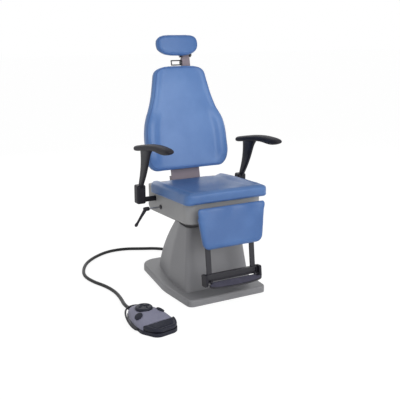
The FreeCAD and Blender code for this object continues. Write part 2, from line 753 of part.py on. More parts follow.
def make_back():
    cushion = facing(slab(back_corners(Size(0.0, "0")), S.back_rest, S.back_face))
    face = -number(S.back_face)
    cushion = soften(cushion, 18, lambda edge: (
        abs(edge.BoundBox.YMin - face) < 0.01 and abs(edge.BoundBox.YMax - face) < 0.01))
    sub_part("back_cushion", BACK, free_shape(cushion))
    rest = S.back_rest
    outer = facing(slab(back_corners(S.shell_inset), rest - S.shell_deep, rest))
    rear = -number(rest - S.shell_deep)
    outer = soften(outer, 14, lambda edge: (
        abs(edge.BoundBox.YMin - rear) < 0.01 and abs(edge.BoundBox.YMax - rear) < 0.01))
    inner = facing(slab(back_corners(S.shell_inset + S.shell_wall),
                        rest - S.shell_deep + S.shell_wall, rest + 1))
    slot = box((S.head_x - S.bar_wide / 2 - 2, S.head_x + S.bar_wide / 2 + 2),
               (-S.bar_face - 2, -S.bar_face + S.bar_thick + 2),
               (S.back_top - 60, S.back_top + 10))
    sub_part("back_shell", BACK, cut(free_shape(outer.cut(inner)), slot))

    face_y = -S.back_rest + S.shell_deep
    panel = plate("back_panel", "XZ", [
        (-S.bracket_half, 34), (S.bracket_half, 34), (S.bracket_half, S.bracket_top - 60),
        (S.bracket_half - 40, S.bracket_top), (-S.bracket_half + 40, S.bracket_top),
        (-S.bracket_half, S.bracket_top - 60)], face_y, face_y + S.bracket_thick)
    solids = [panel]
    for side in (-1, 1):
        low = S.bracket_half - 12 if side > 0 else -S.bracket_half
        solids.append(box((low, low + 12), (face_y, S.recline_pin + 4), (0, 60)))
        solids.append(rod("X", S.recline_pin + 6, low, low + 12, (0, 0)))
    bore = rod("X", S.recline_pin, -S.bracket_half - 1, S.bracket_half + 1, (0, 0))
    sub_part("back_bracket", BACK, cut(fuse(*solids), bore))
    shaft = rod("X", S.recline_pin, -S.ear_place - S.ear_thick - 3,
                S.gear_place + S.gear_long - 4, (0, 0))
    sub_part("recline_shaft", BACK, shaft)

    guide_y = (-S.bar_face - 4, -S.back_rest + S.shell_deep - S.shell_wall)
    guides = []
    for z in (S.bar_low + 60, S.bar_low + 190):
        sleeve = box((S.head_x - S.bar_wide / 2 - 4, S.head_x + S.bar_wide / 2 + 4), guide_y,
                     (z, z + 40))
        hole = box((S.head_x - S.bar_wide / 2 - 0.3, S.head_x + S.bar_wide / 2 + 0.3),
                   (-S.bar_face - 0.3, -S.bar_face + S.bar_thick + 0.3), (z - 1, z + 41))
        guides.append(cut(sleeve, hole))
    sub_part("headrest_guides", BACK, *guides)


def make_headrest():
    x_low, x_high = S.head_x - S.block_wide / 2, S.head_x + S.block_wide / 2
    bar = box((S.head_x - S.bar_wide / 2, S.head_x + S.bar_wide / 2),
              (-S.bar_face, -S.bar_face + S.bar_thick), (S.bar_low, S.block_low + 6))
    sub_part("headrest_bar", BACK, bar)
    body = plate("headrest_block_form", "YZ", [
        (-S.bar_face - 7, S.block_low), (-S.bar_face + 17, S.block_low),
        (-S.bar_face + 17, S.block_top - 14), (-S.head_pivot_y + 9, S.block_top),
        (-S.head_pivot_y - 9, S.block_top), (-S.bar_face - 7, S.block_top - 14)],
        x_low, x_high)
    body = rounded(body, 5, along("z"))
    socket = box((S.head_x - S.bar_wide / 2, S.head_x + S.bar_wide / 2),
                 (-S.bar_face, -S.bar_face + S.bar_thick),
                 (S.block_low - 1, S.block_low + 6))
    knuckle = (x_low + 4, x_high - 4)
    tongue = fuse(box(knuckle, (-S.head_pivot_y - 8, -S.head_pivot_y + 8),
                      (S.block_top - 10, S.head_pivot_z)),
                  rod("X", 8, *knuckle, (-S.head_pivot_y, S.head_pivot_z)))
    pin_hole = rod("X", S.head_pin + S.run_fit, x_low, x_high,
                   (-S.head_pivot_y, S.head_pivot_z))
    wire_hole = rod("X", S.wire + S.run_fit, x_low - 1, x_low + 14,
                    (-S.bar_face + 5, S.wire_z))
    block = cut(fuse(body, tongue), socket, pin_hole, wire_hole)
    sub_part("headrest_block", BACK, block)
    pin = rod("X", S.head_pin, x_low - 12, x_high + 12,
              (-S.head_pivot_y, S.head_pivot_z))
    sub_part("head_pin", BACK, pin)

    start, end = x_low - 1, x_low - S.wire_reach
    y = -S.bar_face + 5
    upper, lower = S.wire_z + S.wire_apart / 2, S.wire_z - S.wire_apart / 2
    hub = rod("X", S.wire_apart / 2 + 1, start - 5, start, (y, S.wire_z))
    bars = [rod("X", S.wire, end, start - 3, (y, z)) for z in (upper, lower)]
    bend = rod("Z", S.wire, lower, upper, (end, y))
    knuckles = []
    for z in (upper, lower):
        ball = doc.addObject("Part::Sphere", "Ball")
        ball.setExpression("Radius", words(S.wire))
        knuckles.append(move(ball, (end, y, z)))
    stub = rod("X", S.wire, start - 1, start + 13, (y, S.wire_z))
    sub_part("release_wire", BACK, fuse(hub, *bars, bend, *knuckles, stub))


def make_head():
    low = S.head_low - S.head_pivot_z
    high = low + S.head_high
    back_face = -S.head_face + S.head_thick + S.head_pivot_y
    pad = facing(slab(mirror_corners([
        (S.head_half, low, 52), (S.head_half, high, 52)]),
        -back_face, -back_face + S.head_thick))
    face = -number(-back_face + S.head_thick)
    pad = soften(pad, 16, lambda edge: (
        abs(edge.BoundBox.YMin - face) < 0.01 and abs(edge.BoundBox.YMax - face) < 0.01))
    sub_part("head_pad", HEAD, free_shape(pad))
    board = facing(slab(mirror_corners([
        (S.head_half - 26, low + 20, 34), (S.head_half - 26, high - 20, 34)]),
        -back_face - S.head_plate_thick, -back_face))
    lugs = []
    for side in (-1, 1):
        start = S.head_x + side * S.block_wide / 2 - (3 if side > 0 else 9)
        lugs.append(box((start, start + 12), (back_face + S.head_plate_thick - 1, 0),
                        (-3, 30)))
        lugs.append(rod("X", 9, start, start + 12, (0, 0)))
    bore = rod("X", S.head_pin + S.run_fit, S.head_x - S.block_wide, S.head_x + S.block_wide,
               (0, 0))
    sub_part("head_plate", HEAD, cut(fuse(free_shape(board), *lugs), bore))


# ------------------------------------------------------------------ legrest

def make_leg():
    corners = mirror_corners([
        (S.leg_half_low, -S.leg_low, 32), (S.leg_half_top, S.leg_top, 24)])
    pad = facing(slab(corners, -S.leg_rear, S.leg_face))
    face = -number(S.leg_face)
    pad = soften(pad, 14, lambda edge: (
        abs(edge.BoundBox.YMin - face) < 0.01 and abs(edge.BoundBox.YMax - face) < 0.01))
    rebate = box((-S.leg_half_top - 5, S.leg_half_top + 5), (-12, S.leg_rear + 5),
                 (-S.leg_rebate, S.leg_top + 5))
    sub_part("leg_pad", LEG, cut(free_shape(pad), rebate))
    board_y = (S.leg_rear, S.leg_rear + S.leg_board)
    board = facing(slab(mirror_corners([
        (S.leg_half_low - 12, -S.leg_low + 12, 24),
        (S.leg_half_top - 16, -S.leg_rebate - 4, 10)]), -board_y[1], -board_y[0]))
    solids = [free_shape(board)]
    arm_x = S.leg_ear_place + S.ear_thick + 1
    for side in (-1, 1):
        low = arm_x if side > 0 else -arm_x - S.ear_thick
        solids.append(box((low, low + S.ear_thick), (-8, board_y[1]),
                          (-S.leg_rebate - 3, -S.leg_rebate + 3 + 8)))
        solids.append(box((low, low + S.ear_thick), (-8, 8), (-S.leg_rebate + 5, 0)))
        solids.append(box((low, low + S.ear_thick), (S.leg_rear, board_y[1]),
                          (-S.leg_rebate - 20, -S.leg_rebate + 3)))
        solids.append(rod("X", 9, low, low + S.ear_thick, (0, 0)))
    bore = rod("X", S.leg_pin + S.run_fit, -arm_x - S.ear_thick - 1, arm_x + S.ear_thick + 1,
               (0, 0))
    pocket = box((-arm_x - S.ear_thick - 1, arm_x + S.ear_thick + 1),
                 (-8.5, S.leg_rear), (-S.leg_rebate - 3.5, -S.leg_rebate))
    frame = cut(fuse(*solids), bore, pocket)
    sub_part("leg_frame", LEG, frame)

    strut_y = (board_y[1], board_y[1] + S.strut_thick)
    strut = box((S.strut_place - S.strut_wide / 2, S.strut_place + S.strut_wide / 2), strut_y,
                (-S.strut_low, -S.strut_top))
    sub_part("leg_struts", LEG, *both(rounded(strut, 3, along("z"))))
    bar_y = strut_y[0] + S.strut_thick / 2 - S.bar_deep / 2
    bar = box((-S.foot_bar_half, S.foot_bar_half), (bar_y, bar_y + S.bar_deep),
              (-S.strut_low - S.bar_high, -S.strut_low))
    groove = box((-S.foot_bar_half + 8, S.foot_bar_half - 8), (bar_y - 1, bar_y + 7),
                 (-S.strut_low - S.bar_high + 7, -S.strut_low - 7))
    sub_part("foot_bar", LEG, cut(bar, groove))
    cap = box((S.foot_bar_half, S.foot_bar_half + S.cap_thick),
              (S.foot_pivot_y - 9, bar_y + S.bar_deep + 4),
              (-S.foot_pivot_z - 22, -S.strut_low + 4))
    cap = rounded(cap, 9, along("x"))
    pin = rod("X", S.foot_pin, S.foot_half - 10, S.foot_bar_half + 4,
              (S.foot_pivot_y, -S.foot_pivot_z))
    sub_part("foot_caps", LEG, *both(fuse(cap, pin)))

    flat = foot_outline(Size(0.0, "0"))
    plate_low = -S.foot_drop - S.foot_thick
    form = free_shape(Part.Face(flat).extrude(Vector(0, 0, number(S.foot_thick))))
    move(form, (0, 0, plate_low))
    form = rounded(form, 3, level(plate_low))
    lugs = []
    for side in (-1, 1):
        low = S.foot_half - 14 if side > 0 else -S.foot_half + 2
        lugs.append(box((low, low + 12), (-8, 8), (plate_low + 4, 0)))
        lugs.append(rod("X", 8, low, low + 12, (0, 0)))
    bore = rod("X", S.foot_pin + S.run_fit, -S.foot_half - 1, S.foot_half + 1, (0, 0))
    sub_part("footplate", FOOT, cut(fuse(form, *lugs), bore))
    tread = free_shape(Part.Face(foot_outline(S.tread_inset)).extrude(
        Vector(0, 0, number(S.tread_thick))))
    move(tread, (0, 0, -S.foot_drop))
    relief = box((-S.foot_half, S.foot_half), (-9, 20), (-S.foot_drop - 1, 20))
    sub_part("foot_tread", FOOT, cut(tread, relief))


def foot_outline(inset):
    """The footplate's plan: narrow between the caps, then wide with one round front."""
    half = number(S.foot_half - inset)
    wide = number(S.foot_wide - inset)
    rear = number(6 - inset)
    step = -16 - number(inset)
    side = step - 8
    front = -number(S.foot_deep - inset)
    right = [Vector(half, rear, 0), Vector(half, step, 0), Vector(wide, step, 0),
             Vector(wide, side, 0)]
    left = [Vector(-point.x, point.y, 0) for point in reversed(right)]
    runs = [Part.LineSegment(a, b).toShape() for path in (right, left)
            for a, b in zip(path, path[1:])]
    bow = Part.Arc(right[-1], Vector(0, front, 0), left[0]).toShape()
    rear_run = Part.LineSegment(left[-1], right[0]).toShape()
    return Part.Wire(runs[:3] + [bow] + runs[3:] + [rear_run])


# ------------------------------------------------------------------ armrests

def make_arms():
    half = S.arm_block_wide / 2
    block = box((S.arm_x - half, S.arm_x + half),
                (-S.arm_block_deep / 2 - S.arm_block_set, S.arm_block_deep / 2 - S.arm_block_set),
                (-S.arm_block_down, S.arm_block_up))
    block = rounded(block, 10, lambda edge: True)
    shaft = rod("X", S.arm_shaft + S.run_fit, S.arm_x - half - 1, S.arm_x + half - 14 + 0.3,
                (0, 0))
    top = S.arm_block_up
    high = S.stem_high
    stem = plate("arm_stem_form", "YZ", [
        (4, top - 32), (-2, top), (-40, top + 85), (-50, high - 40), (-44, high),
        (-172, high + 22), (-122, high - 14), (-90, top + 85), (-40, top), (-26, top - 32)],
        S.arm_x - S.stem_thick / 2, S.arm_x + S.stem_thick / 2)
    block = cut(block, shaft, stem)
    pad = cut(arm_pad_form(), stem)
    for name, part_of in (("left", lambda item: item), ("right", mirrored)):
        sub_part(f"arm_block_{name}", ARM, part_of(block))
        sub_part(f"arm_stem_{name}", ARM, part_of(stem))
        sub_part(f"arm_pad_{name}", ARM, part_of(pad))


def arm_pad_form():
    """The pad from the side: thin at the rear, rising forward, with a drooping round grip."""
    low = S.stem_high
    rear, front = S.pad_rear, -S.pad_front
    side = plate("arm_pad_side", "YZ", [
        (rear, low - 9), (rear + 1, low + 4), (rear - 7, low + 14), (rear - 82, low + 33),
        (rear - 152, low + 47), (rear - 234, low + 58), (front + 119, low + 64),
        (front + 34, low + 64), (front + 8, low + 57), (front, low + 44), (front + 8, low + 33),
        (front + 56, low + 20), (front + 89, low + 17), (front + 128, low + 21),
        (front + 165, low + 26), (front + 225, low + 21)],
        S.arm_x - S.pad_wide / 2, S.arm_x + S.pad_wide / 2)
    return rounded(side, 9, lambda edge: (
        abs(abs(edge.CenterOfMass.x - number(S.arm_x)) - number(S.pad_wide) / 2) < 0.1
        and edge.CenterOfMass.z > number(low) + 30 and edge.Length > 12))


# ------------------------------------------------------------------ foot switch

def switch_corners(inset):
    return mirror_corners([
        (S.switch_half - 38 - inset, -S.switch_front + inset, 48 - number(inset)),
        (S.switch_half - inset, -S.pedal_y + 10, 60),
        (S.switch_half - inset - 14, 40, 60),
        (S.switch_half - 58 - inset, S.switch_rear - inset, 34 - number(inset)),
    ])


def turn_switch(item):
    """Stand a piece of the foot switch on its spot on the floor."""
    item.Placement = Placement(Vector(), Rotation(Vector(0, 0, 1), S.switch_turn.value))
    item.setExpression("Placement.Rotation.Angle", words(S.switch_turn))
    item.setExpression("Placement.Base.x", words(S.switch_x))
    item.setExpression("Placement.Base.y", words(S.switch_y))


def switch_part(label, *pieces):
    item = sub_part(label, BASE, *pieces)
    item.setExpression("Placement.Base.y", None)
    item.setExpression("Placement.Base.z", None)
    turn_switch(item)
    return item


def oval(x, y, length, width, low, high):
    """An upright key with round ends, long along Y."""
    corners = [(x + width, y - length, width * 0.98), (x + width, y + length, width * 0.98),
               (x - width, y + length, width * 0.98), (x - width, y - length, width * 0.98)]
    corners = [(number(a), number(b), number(c)) for a, b, c in corners]
    return slab(corners, low, high)


def switch_dome(out, slope=0.31):
    """The switch's upper form, grown outwards by a distance; its roof slopes down in front."""
    seam, middle, top = S.switch_base.value, S.switch_mid.value, S.switch_high.value
    rings = [outline(switch_corners(Size(inset - out, repr(inset - out))), height)
             for inset, height in ((0.0, seam - 0.01 * (out < 0)), (5.0, middle + out / 2),
                                   (26.0, top + out))]
    form = Part.makeLoft(rings[:2], True, True).fuse(
        Part.makeLoft(rings[1:], True, True)).removeSplitter()
    pedal_rear = top - 0.31 * S.pedal_y.value + out
    bend = 0.0 if slope == 0.31 else -S.pedal_y.value
    start = top + out if slope == 0.31 else pedal_rear
    wedge = Part.Face(Part.makePolygon([
        Vector(-300, bend, start), Vector(-300, bend - 300, start - 300 * slope),
        Vector(-300, bend - 300, 300), Vector(-300, bend, 300), Vector(-300, bend, start)]))
    return form.cut(wedge.extrude(Vector(600, 0, 0)))


def make_switch():
    wall = S.switch_wall
    tray = slab(switch_corners(Size(0.0, "0")), 0, S.switch_base)
    tray = soften(tray, 3, level(0))
    well = slab(switch_corners(wall), wall, S.switch_base + 1)
    base = free_shape(tray.cut(well))
    bail_holes = rod("X", S.bail_wire + S.run_fit, -S.switch_half - 5, S.switch_half + 5,
                     (-S.bail_y, S.bail_z))
    pin_low = (-S.pedal_y + 6, S.switch_base + 12)
    gland_hole = rod("Y", S.cable_radius + 5.5, S.switch_rear - 20, S.switch_rear + 5,
                     (0, S.switch_base))
    switch_part("switch_base", cut(base, bail_holes, gland_hole))

    dome = switch_dome(0)
    hollow = switch_dome(-number(wall))
    pedal_room = Part.makeBox(400, 400, 200, Vector(-200, -400 - number(S.pedal_y), 0))
    shell_form = dome.cut(hollow).cut(pedal_room)
    gap = S.key_gap
    shell = free_shape(shell_form)
    rocker_hole = rod("Z", S.rocker + 3.4 * gap, S.switch_mid, S.switch_high + 20, (0, S.rocker_y))
    keys = []
    for x in (-1, 1):
        keys.append(free_shape(oval(x * S.button_x, -S.button_y, S.button_long + gap,
                                    S.button_wide + gap, S.switch_mid.value - 30,
                                    S.switch_high.value + 20)))
    shell_gland = rod("Y", S.cable_radius + 5.5, S.switch_rear - 40, S.switch_rear + 5,
                      (0, S.switch_base))
    switch_part("switch_shell", cut(shell, rocker_hole, *keys, shell_gland))

    for name, x in (("left", 1), ("right", -1)):
        key_low = S.switch_mid - 14
        key = free_shape(oval(x * S.button_x, -S.button_y, S.button_long, S.button_wide,
                              key_low, S.switch_high + 20).common(switch_dome(2.5)))
        switch_part(f"side_button_{name}", key)
    disc = rod("Z", S.rocker, S.switch_high - 6, S.switch_high - 6 + S.rocker_thick,
               (0, S.rocker_y))
    disc = rounded(disc, 4, level(S.switch_high - 6 + S.rocker_thick))
    stalk = rod("Z", 7, S.switch_high - 26, S.switch_high - 6, (0, S.rocker_y))
    cross = rod("X", 3, -14, 14, (S.rocker_y, S.switch_high - 22))
    cross_hole = rod("X", 3 + S.run_fit, -16, 16, (S.rocker_y, S.switch_high - 22))
    switch_part("rocker", cut(fuse(disc, stalk), cross_hole))
    ring_out = box((-22, 22), (S.rocker_y - 16, S.rocker_y + 16),
                   (S.switch_high - 27, S.switch_high - 17))
    ring_in = box((-13, 13), (S.rocker_y - 11, S.rocker_y + 11),
                  (S.switch_high - 30, S.switch_high - 10))
    side_pins = rod("Y", 3, S.rocker_y - 24, S.rocker_y + 24, (0, S.switch_high - 22))
    keep_clear = rod("Z", 11, S.switch_high - 40, S.switch_high, (0, S.rocker_y))
    ring = cut(fuse(cut(ring_out, ring_in), cut(side_pins, keep_clear)), keep_clear)
    switch_part("rocker_gimbal", fuse(ring, cross))
    board_top = S.switch_base + 6
    board = box((-56, 56), (-30, 100), (S.switch_base + 2, board_top))
    posts = [rod("Z", 5, S.switch_wall, S.switch_base + 2, (x, y))
             for x in (-50, 50) for y in (-20, 90)]
    mounts = []
    for side in (-1, 1):
        y = side * 20 + S.rocker_y
        post = box((-6, 6), (y - 3, y + 3), (board_top, S.switch_high - 18))
        hole = rod("Y", 3 + S.run_fit, y - 5, y + 5, (0, S.switch_high - 22))
        mounts.append(cut(post, hole))
    for x in (-1, 1):
        mounts.append(box((x * 80 - 6, x * 80 + 6), (-18, -6), (board_top, S.switch_mid - 18)))
    shelf = box((-84, 84), (-20, -4), (S.switch_base + 2, board_top))
    switch_part("switch_board", fuse(board, shelf, *posts, *mounts))

    room = Part.makeBox(400, 400, 200, Vector(-200, -number(S.pedal_y) - 1, 0))
    floor = Part.makeBox(400, 400, number(S.switch_base) + 4, Vector(-200, -400, 0))
    pedal_form = switch_dome(-1, 0.18).cut(room).cut(floor)
    pedal = free_shape(pedal_form)
    tail = box((-40, 40), (-S.pedal_y - 6, -S.pedal_y + 12), (pin_low[1] - 5, pin_low[1] + 5))
    tail = rounded(tail, 4, along("x"))
    pin_hole = rod("X", S.pedal_pin + S.run_fit, -60, 60, pin_low)
    switch_part("pedal", cut(fuse(pedal, tail), pin_hole))
    bearings = []
    for side in (-1, 1):
        low = 44 if side > 0 else -52
        post = box((low, low + 8), (pin_low[0] - 6, pin_low[0] + 6), (wall, pin_low[1] + 6))
        bearings.append(post)
    bearing = cut(fuse(*bearings), rod("X", S.pedal_pin, -60, 60, pin_low))
    switch_part("pedal_bearings", bearing, rod("X", S.pedal_pin, -52, 52, pin_low))
    gland_nut = rod("Y", S.cable_radius + 5, S.switch_rear - 10, S.switch_rear + 4,
                    (0, S.switch_base))
    gland_boot = rod("Y", S.cable_radius + 4, S.switch_rear + 4, S.switch_rear + 26,
                     (0, S.switch_base))
    gland_lip = rod("Y", S.cable_radius + 8, S.switch_rear - 14, S.switch_rear - 8,
                    (0, S.switch_base))
    switch_part("switch_gland", fuse(gland_nut, gland_boot, gland_lip))

    reach = S.switch_half + 12
    far = S.switch_rear + 20
    bail_rise = S.switch_base + S.cable_radius + 4 + S.bail_wire + S.soft_gap
    route = [(S.switch_half - 5, -S.bail_y, 12), (reach, -S.bail_y, 12), (reach - 6, 50, 12),
             (58, far, bail_rise), (-58, far, bail_rise), (6 - reach, 50, 12),
             (-reach, -S.bail_y, 12), (-S.switch_half + 5, -S.bail_y, 12)]
    wire_path = rounded_path([Vector(number(a), number(b), number(c)) for a, b, c in route],
                             [9, 60, 34, 34, 60, 9])
    switch_part("bail", free_shape(tube_along(wire_path, S.bail_wire.value)))


# ------------------------------------------------------------------ cable

def rounded_path(points, radii):
    """Straight runs joined by tangent arcs of the given radii."""
    edges = []
    last = points[0]
    for before, here, after, radius in zip(points, points[1:], points[2:], radii):
        back = (before - here).normalize()
        on = (after - here).normalize()
        half = back.getAngle(on) / 2
        reach = radius / math.tan(half)
        start = here + back * reach
        end = here + on * reach
        inward = (back + on).normalize()
        knee = here + inward * (radius / math.sin(half) - radius)
        edges.append(Part.LineSegment(last, start).toShape())
        edges.append(Part.Arc(start, knee, end).toShape())
        last = end
    edges.append(Part.LineSegment(last, points[-1]).toShape())
    return Part.Wire(edges)


def tube_along(path, radius):
    start = path.Vertexes[0].Point
    heading = path.Edges[0].tangentAt(path.Edges[0].FirstParameter)
    ring = Part.Wire(Part.makeCircle(radius, start, heading))
    return path.makePipeShell([ring], True, True)


def arc_radii(points):
    """Each arc's radius: 0.45 of its shorter run over the tangent of half its turn."""
    radii = []
    for before, here, after in zip(points, points[1:], points[2:]):
        shorter = min((here - before).Length, (after - here).Length)
        turn = (here - before).getAngle(after - here)
        radii.append(0.45 * shorter / math.tan(turn / 2))
    return radii


def switch_point(x, y, z):
    """A point of the foot switch, in the chair's axes."""
    turn = Rotation(Vector(0, 0, 1), S.switch_turn.value)
    spot = turn.multVec(Vector(number(x), number(y), number(z)))
    return spot + Vector(S.switch_x.value, S.switch_y.value, 0)


def make_cable():
    floor = S.cable_radius.value + S.cable_floor.value
    start = Vector(number(S.base_gland_x), number(S.base_rear - S.cover_wall + 30),
                   number(S.base_gland_z))
    end = switch_point(0, S.switch_rear + 26, S.switch_base)
    entry = switch_point(0, S.switch_rear + 26 + 58, S.switch_base)
    route = [start, Vector(start.x, start.y + 56, start.z), Vector(82, 600, floor),
             Vector(14, 676, floor),
             Vector(-75, 716, floor), Vector(-180, 771, floor), Vector(-300, 774, floor),
             Vector(-412, 714, floor), Vector(-504, 628, floor), Vector(-564, 524, floor),
             Vector(-602, 404, floor), Vector(-586, 286, floor), Vector(-546, 186, floor),
             Vector(-528, 76, floor), Vector(-536, -32, floor),
             entry, end]
    radii = arc_radii(route)
    path = rounded_path(route, radii)
    tube = tube_along(path, S.cable_radius.value)
    bore = math.pi * S.cable_radius.value ** 2
    print("cable arc radii", [round(radius) for radius in radii])
    print("cable length", round(path.Length), "volume ratio",
          round(tube.Volume / (bore * path.Length), 4))
    sub_part("foot_cable", BASE, free_shape(tube))


# ------------------------------------------------------------------ make, check and write

def check():
    doc.recompute()
    for item in doc.Objects:
        wrong = {"Invalid", "Error"} & set(item.State)
        if wrong:
            raise RuntimeError(f"{item.Label} ({item.Name}) is {wrong}")
    for item in made:
        if item.Shape.isNull() or not item.Shape.isValid() or not item.Shape.Solids:
            raise RuntimeError(f"{item.Label} has no valid shape")


def main():
    make_base()
    make_lift()
    make_electrics()
    make_housing()
    make_seat_frame()
    make_seat_trim()
    make_lock()
    make_back()
    make_headrest()
    make_head()
    make_leg()
    make_arms()
    make_switch()
    make_cable()
    check()
    os.makedirs("parts", exist_ok=True)
    for item in made:
        item.Shape.exportStep(f"parts/{item.Label}.step")
    for name, frame in (("seat", SEAT), ("back", BACK), ("head", HEAD), ("leg", LEG),
                        ("foot", FOOT), ("arm", ARM), ("lock", LOCK)):
        print(f"{name} origin y {number(frame.y):.3f} z {number(frame.z):.3f}"
              f" lean {number(frame.lean or 0):.2f}")
    print(len(made), "sub-parts")


main()
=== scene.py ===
import json
import math

import bmesh
import bpy
from mathutils import Matrix, Vector
from mathutils.bvhtree import BVHTree


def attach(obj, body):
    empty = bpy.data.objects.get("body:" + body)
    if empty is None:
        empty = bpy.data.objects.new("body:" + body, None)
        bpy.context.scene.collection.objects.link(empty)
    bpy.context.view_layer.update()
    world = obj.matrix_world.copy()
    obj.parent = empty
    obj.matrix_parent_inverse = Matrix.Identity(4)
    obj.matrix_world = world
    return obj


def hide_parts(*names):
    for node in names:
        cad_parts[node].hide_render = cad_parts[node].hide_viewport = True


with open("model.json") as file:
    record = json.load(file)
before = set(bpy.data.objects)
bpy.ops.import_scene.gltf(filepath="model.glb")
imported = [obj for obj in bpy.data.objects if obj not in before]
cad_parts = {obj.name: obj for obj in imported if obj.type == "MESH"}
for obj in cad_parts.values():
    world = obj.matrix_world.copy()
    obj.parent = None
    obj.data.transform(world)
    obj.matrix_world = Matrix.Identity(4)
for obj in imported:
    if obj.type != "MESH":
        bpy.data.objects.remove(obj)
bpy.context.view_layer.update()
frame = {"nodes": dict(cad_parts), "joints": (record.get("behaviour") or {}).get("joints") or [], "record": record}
nodes = frame["nodes"]
hinge_at = {joint["name"]: Vector(joint["pos_m"]) for joint in frame["joints"] if "pos_m" in joint}

# Where each group of the chair stands, and how far it leans back from upright.
SEAT_LEAN = 2.5
BACK_LEAN = 12.8
LEG_LEAN = 7.0
SWITCH_SPOT = Vector((-0.527, -0.400, 0.0))
SWITCH_TURN = 10.0

# Sizes that several pieces share.
ARM_OUT = hinge_at["arm_left_swing"].x
SWITCH_SEAM = 0.022
ROCKER_RADIUS = 0.045
ROCKER_REAR = 0.048
KEY_OUT, KEY_REAR = 0.068, -0.003
PEDAL_REAR = -0.084
CABLE_RADIUS = 0.010
CABLE_EXIT = Vector((0.094, 0.448, 0.0252))


def leaning(origin, degrees):
    return Matrix.Translation(origin) @ Matrix.Rotation(math.radians(-degrees), 4, "X")


SEAT = leaning(Vector((0, 0, 0.558)), SEAT_LEAN)
BACK = leaning(hinge_at["back_recline"], BACK_LEAN)
HEAD = leaning(Vector((0, *hinge_at["head_tilt"].yz)), BACK_LEAN)
LEG = leaning(hinge_at["leg_raise"], LEG_LEAN)
FOOT = leaning(hinge_at["footplate_fold"], 0)
ARM = leaning(Vector((0, *hinge_at["arm_left_swing"].yz)), 0)
LOCK = leaning(Vector((0, *hinge_at["lock_turn"].yz)), 0)
SWITCH = Matrix.Translation(SWITCH_SPOT) @ Matrix.Rotation(math.radians(SWITCH_TURN), 4, "Z")


# ------------------------------------------------------------------ camera and light

def make_camera():
    right = Vector((0.87807, -0.47853, 0.0))
    up = Vector((0.119765, 0.219762, 0.968174))
    back = -Vector((0.463300, 0.850126, -0.250278))
    data = bpy.data.cameras.new("studio_camera")
    data.lens = 61.2
    data.sensor_width = 36
    camera = bpy.data.objects.new("studio_camera", data)
    bpy.context.scene.collection.objects.link(camera)
    turn = Matrix((right, up, back)).transposed().to_4x4()
    camera.matrix_world = Matrix.Translation((-1.85685, -3.38897, 1.50884)) @ turn
    bpy.context.scene.camera = camera


def lamp(name, spot, aim, size, energy):
    data = bpy.data.lights.new(name, "AREA")
    data.size = size
    data.energy = energy
    item = bpy.data.objects.new(name, data)
    bpy.context.scene.collection.objects.link(item)
    item.location = spot
    item.rotation_euler = (Vector(aim) - Vector(spot)).to_track_quat("-Z", "Y").to_euler()


ROOM_LIGHT = 0.42


def make_studio():
    lamp("soft_key", (0.8, -3.8, 2.7), (0, 0, 0.5), 2.6, 62)
    lamp("soft_side", (-3.4, -1.2, 1.8), (0, 0, 0.6), 2.4, 14)
    lamp("low_front", (0.9, -3.4, 0.7), (0, 0, 0.3), 2.0, 22)
    lamp("soft_back", (0.6, 3.4, 2.6), (0, 0, 0.8), 2.6, 26)
    world = bpy.data.worlds.new("studio")
    bpy.context.scene.world = world
    world.use_nodes = True
    tree = world.node_tree
    tree.nodes.clear()
    rays = tree.nodes.new("ShaderNodeLightPath")
    seen = rays.outputs["Is Camera Ray"]
    for kind in ("Is Glossy Ray", "Is Transmission Ray"):
        either = tree.nodes.new("ShaderNodeMath")
        either.operation = "MAXIMUM"
        tree.links.new(seen, either.inputs[0])
        tree.links.new(rays.outputs[kind], either.inputs[1])
        seen = either.outputs[0]
    lights = []
    for strength in (ROOM_LIGHT, 1.0):
        light = tree.nodes.new("ShaderNodeBackground")
        light.inputs["Color"].default_value = (1, 1, 1, 1)
        light.inputs["Strength"].default_value = strength
        lights.append(light.outputs[0])
    choice = tree.nodes.new("ShaderNodeMixShader")
    out = tree.nodes.new("ShaderNodeOutputWorld")
    for socket, source in zip(choice.inputs, (seen, *lights)):
        tree.links.new(source, socket)
    tree.links.new(choice.outputs[0], out.inputs[0])


# ------------------------------------------------------------------ finishes

def tone(code):
    """A colour written as RRGGBB, as linear light."""
    parts = [int(code[i:i + 2], 16) / 255 for i in (0, 2, 4)]
    return tuple(p / 12.92 if p <= 0.04045 else ((p + 0.055) / 1.055) ** 2.4 for p in parts)


class Value:
    """A node's output, on which sums are written as ordinary expressions."""

    def __init__(self, finish, socket):
        self.finish = finish
        self.socket = socket

    def sum(self, operation, *others):
        return self.finish.node("ShaderNodeMath", {"operation": operation},
                                dict(enumerate((self, *others))))

    def __add__(self, other):
        return self.sum("ADD", other)

    def __mul__(self, other):
        return self.sum("MULTIPLY", other)

    def between(self, low, high):
        """0 below low, 1 above high, and smooth between."""
        return self.finish.node("ShaderNodeMapRange", {"interpolation_type": "SMOOTHSTEP"},
                                {"Value": self, "From Min": low, "From Max": high})

    __radd__ = __add__
    __rmul__ = __mul__


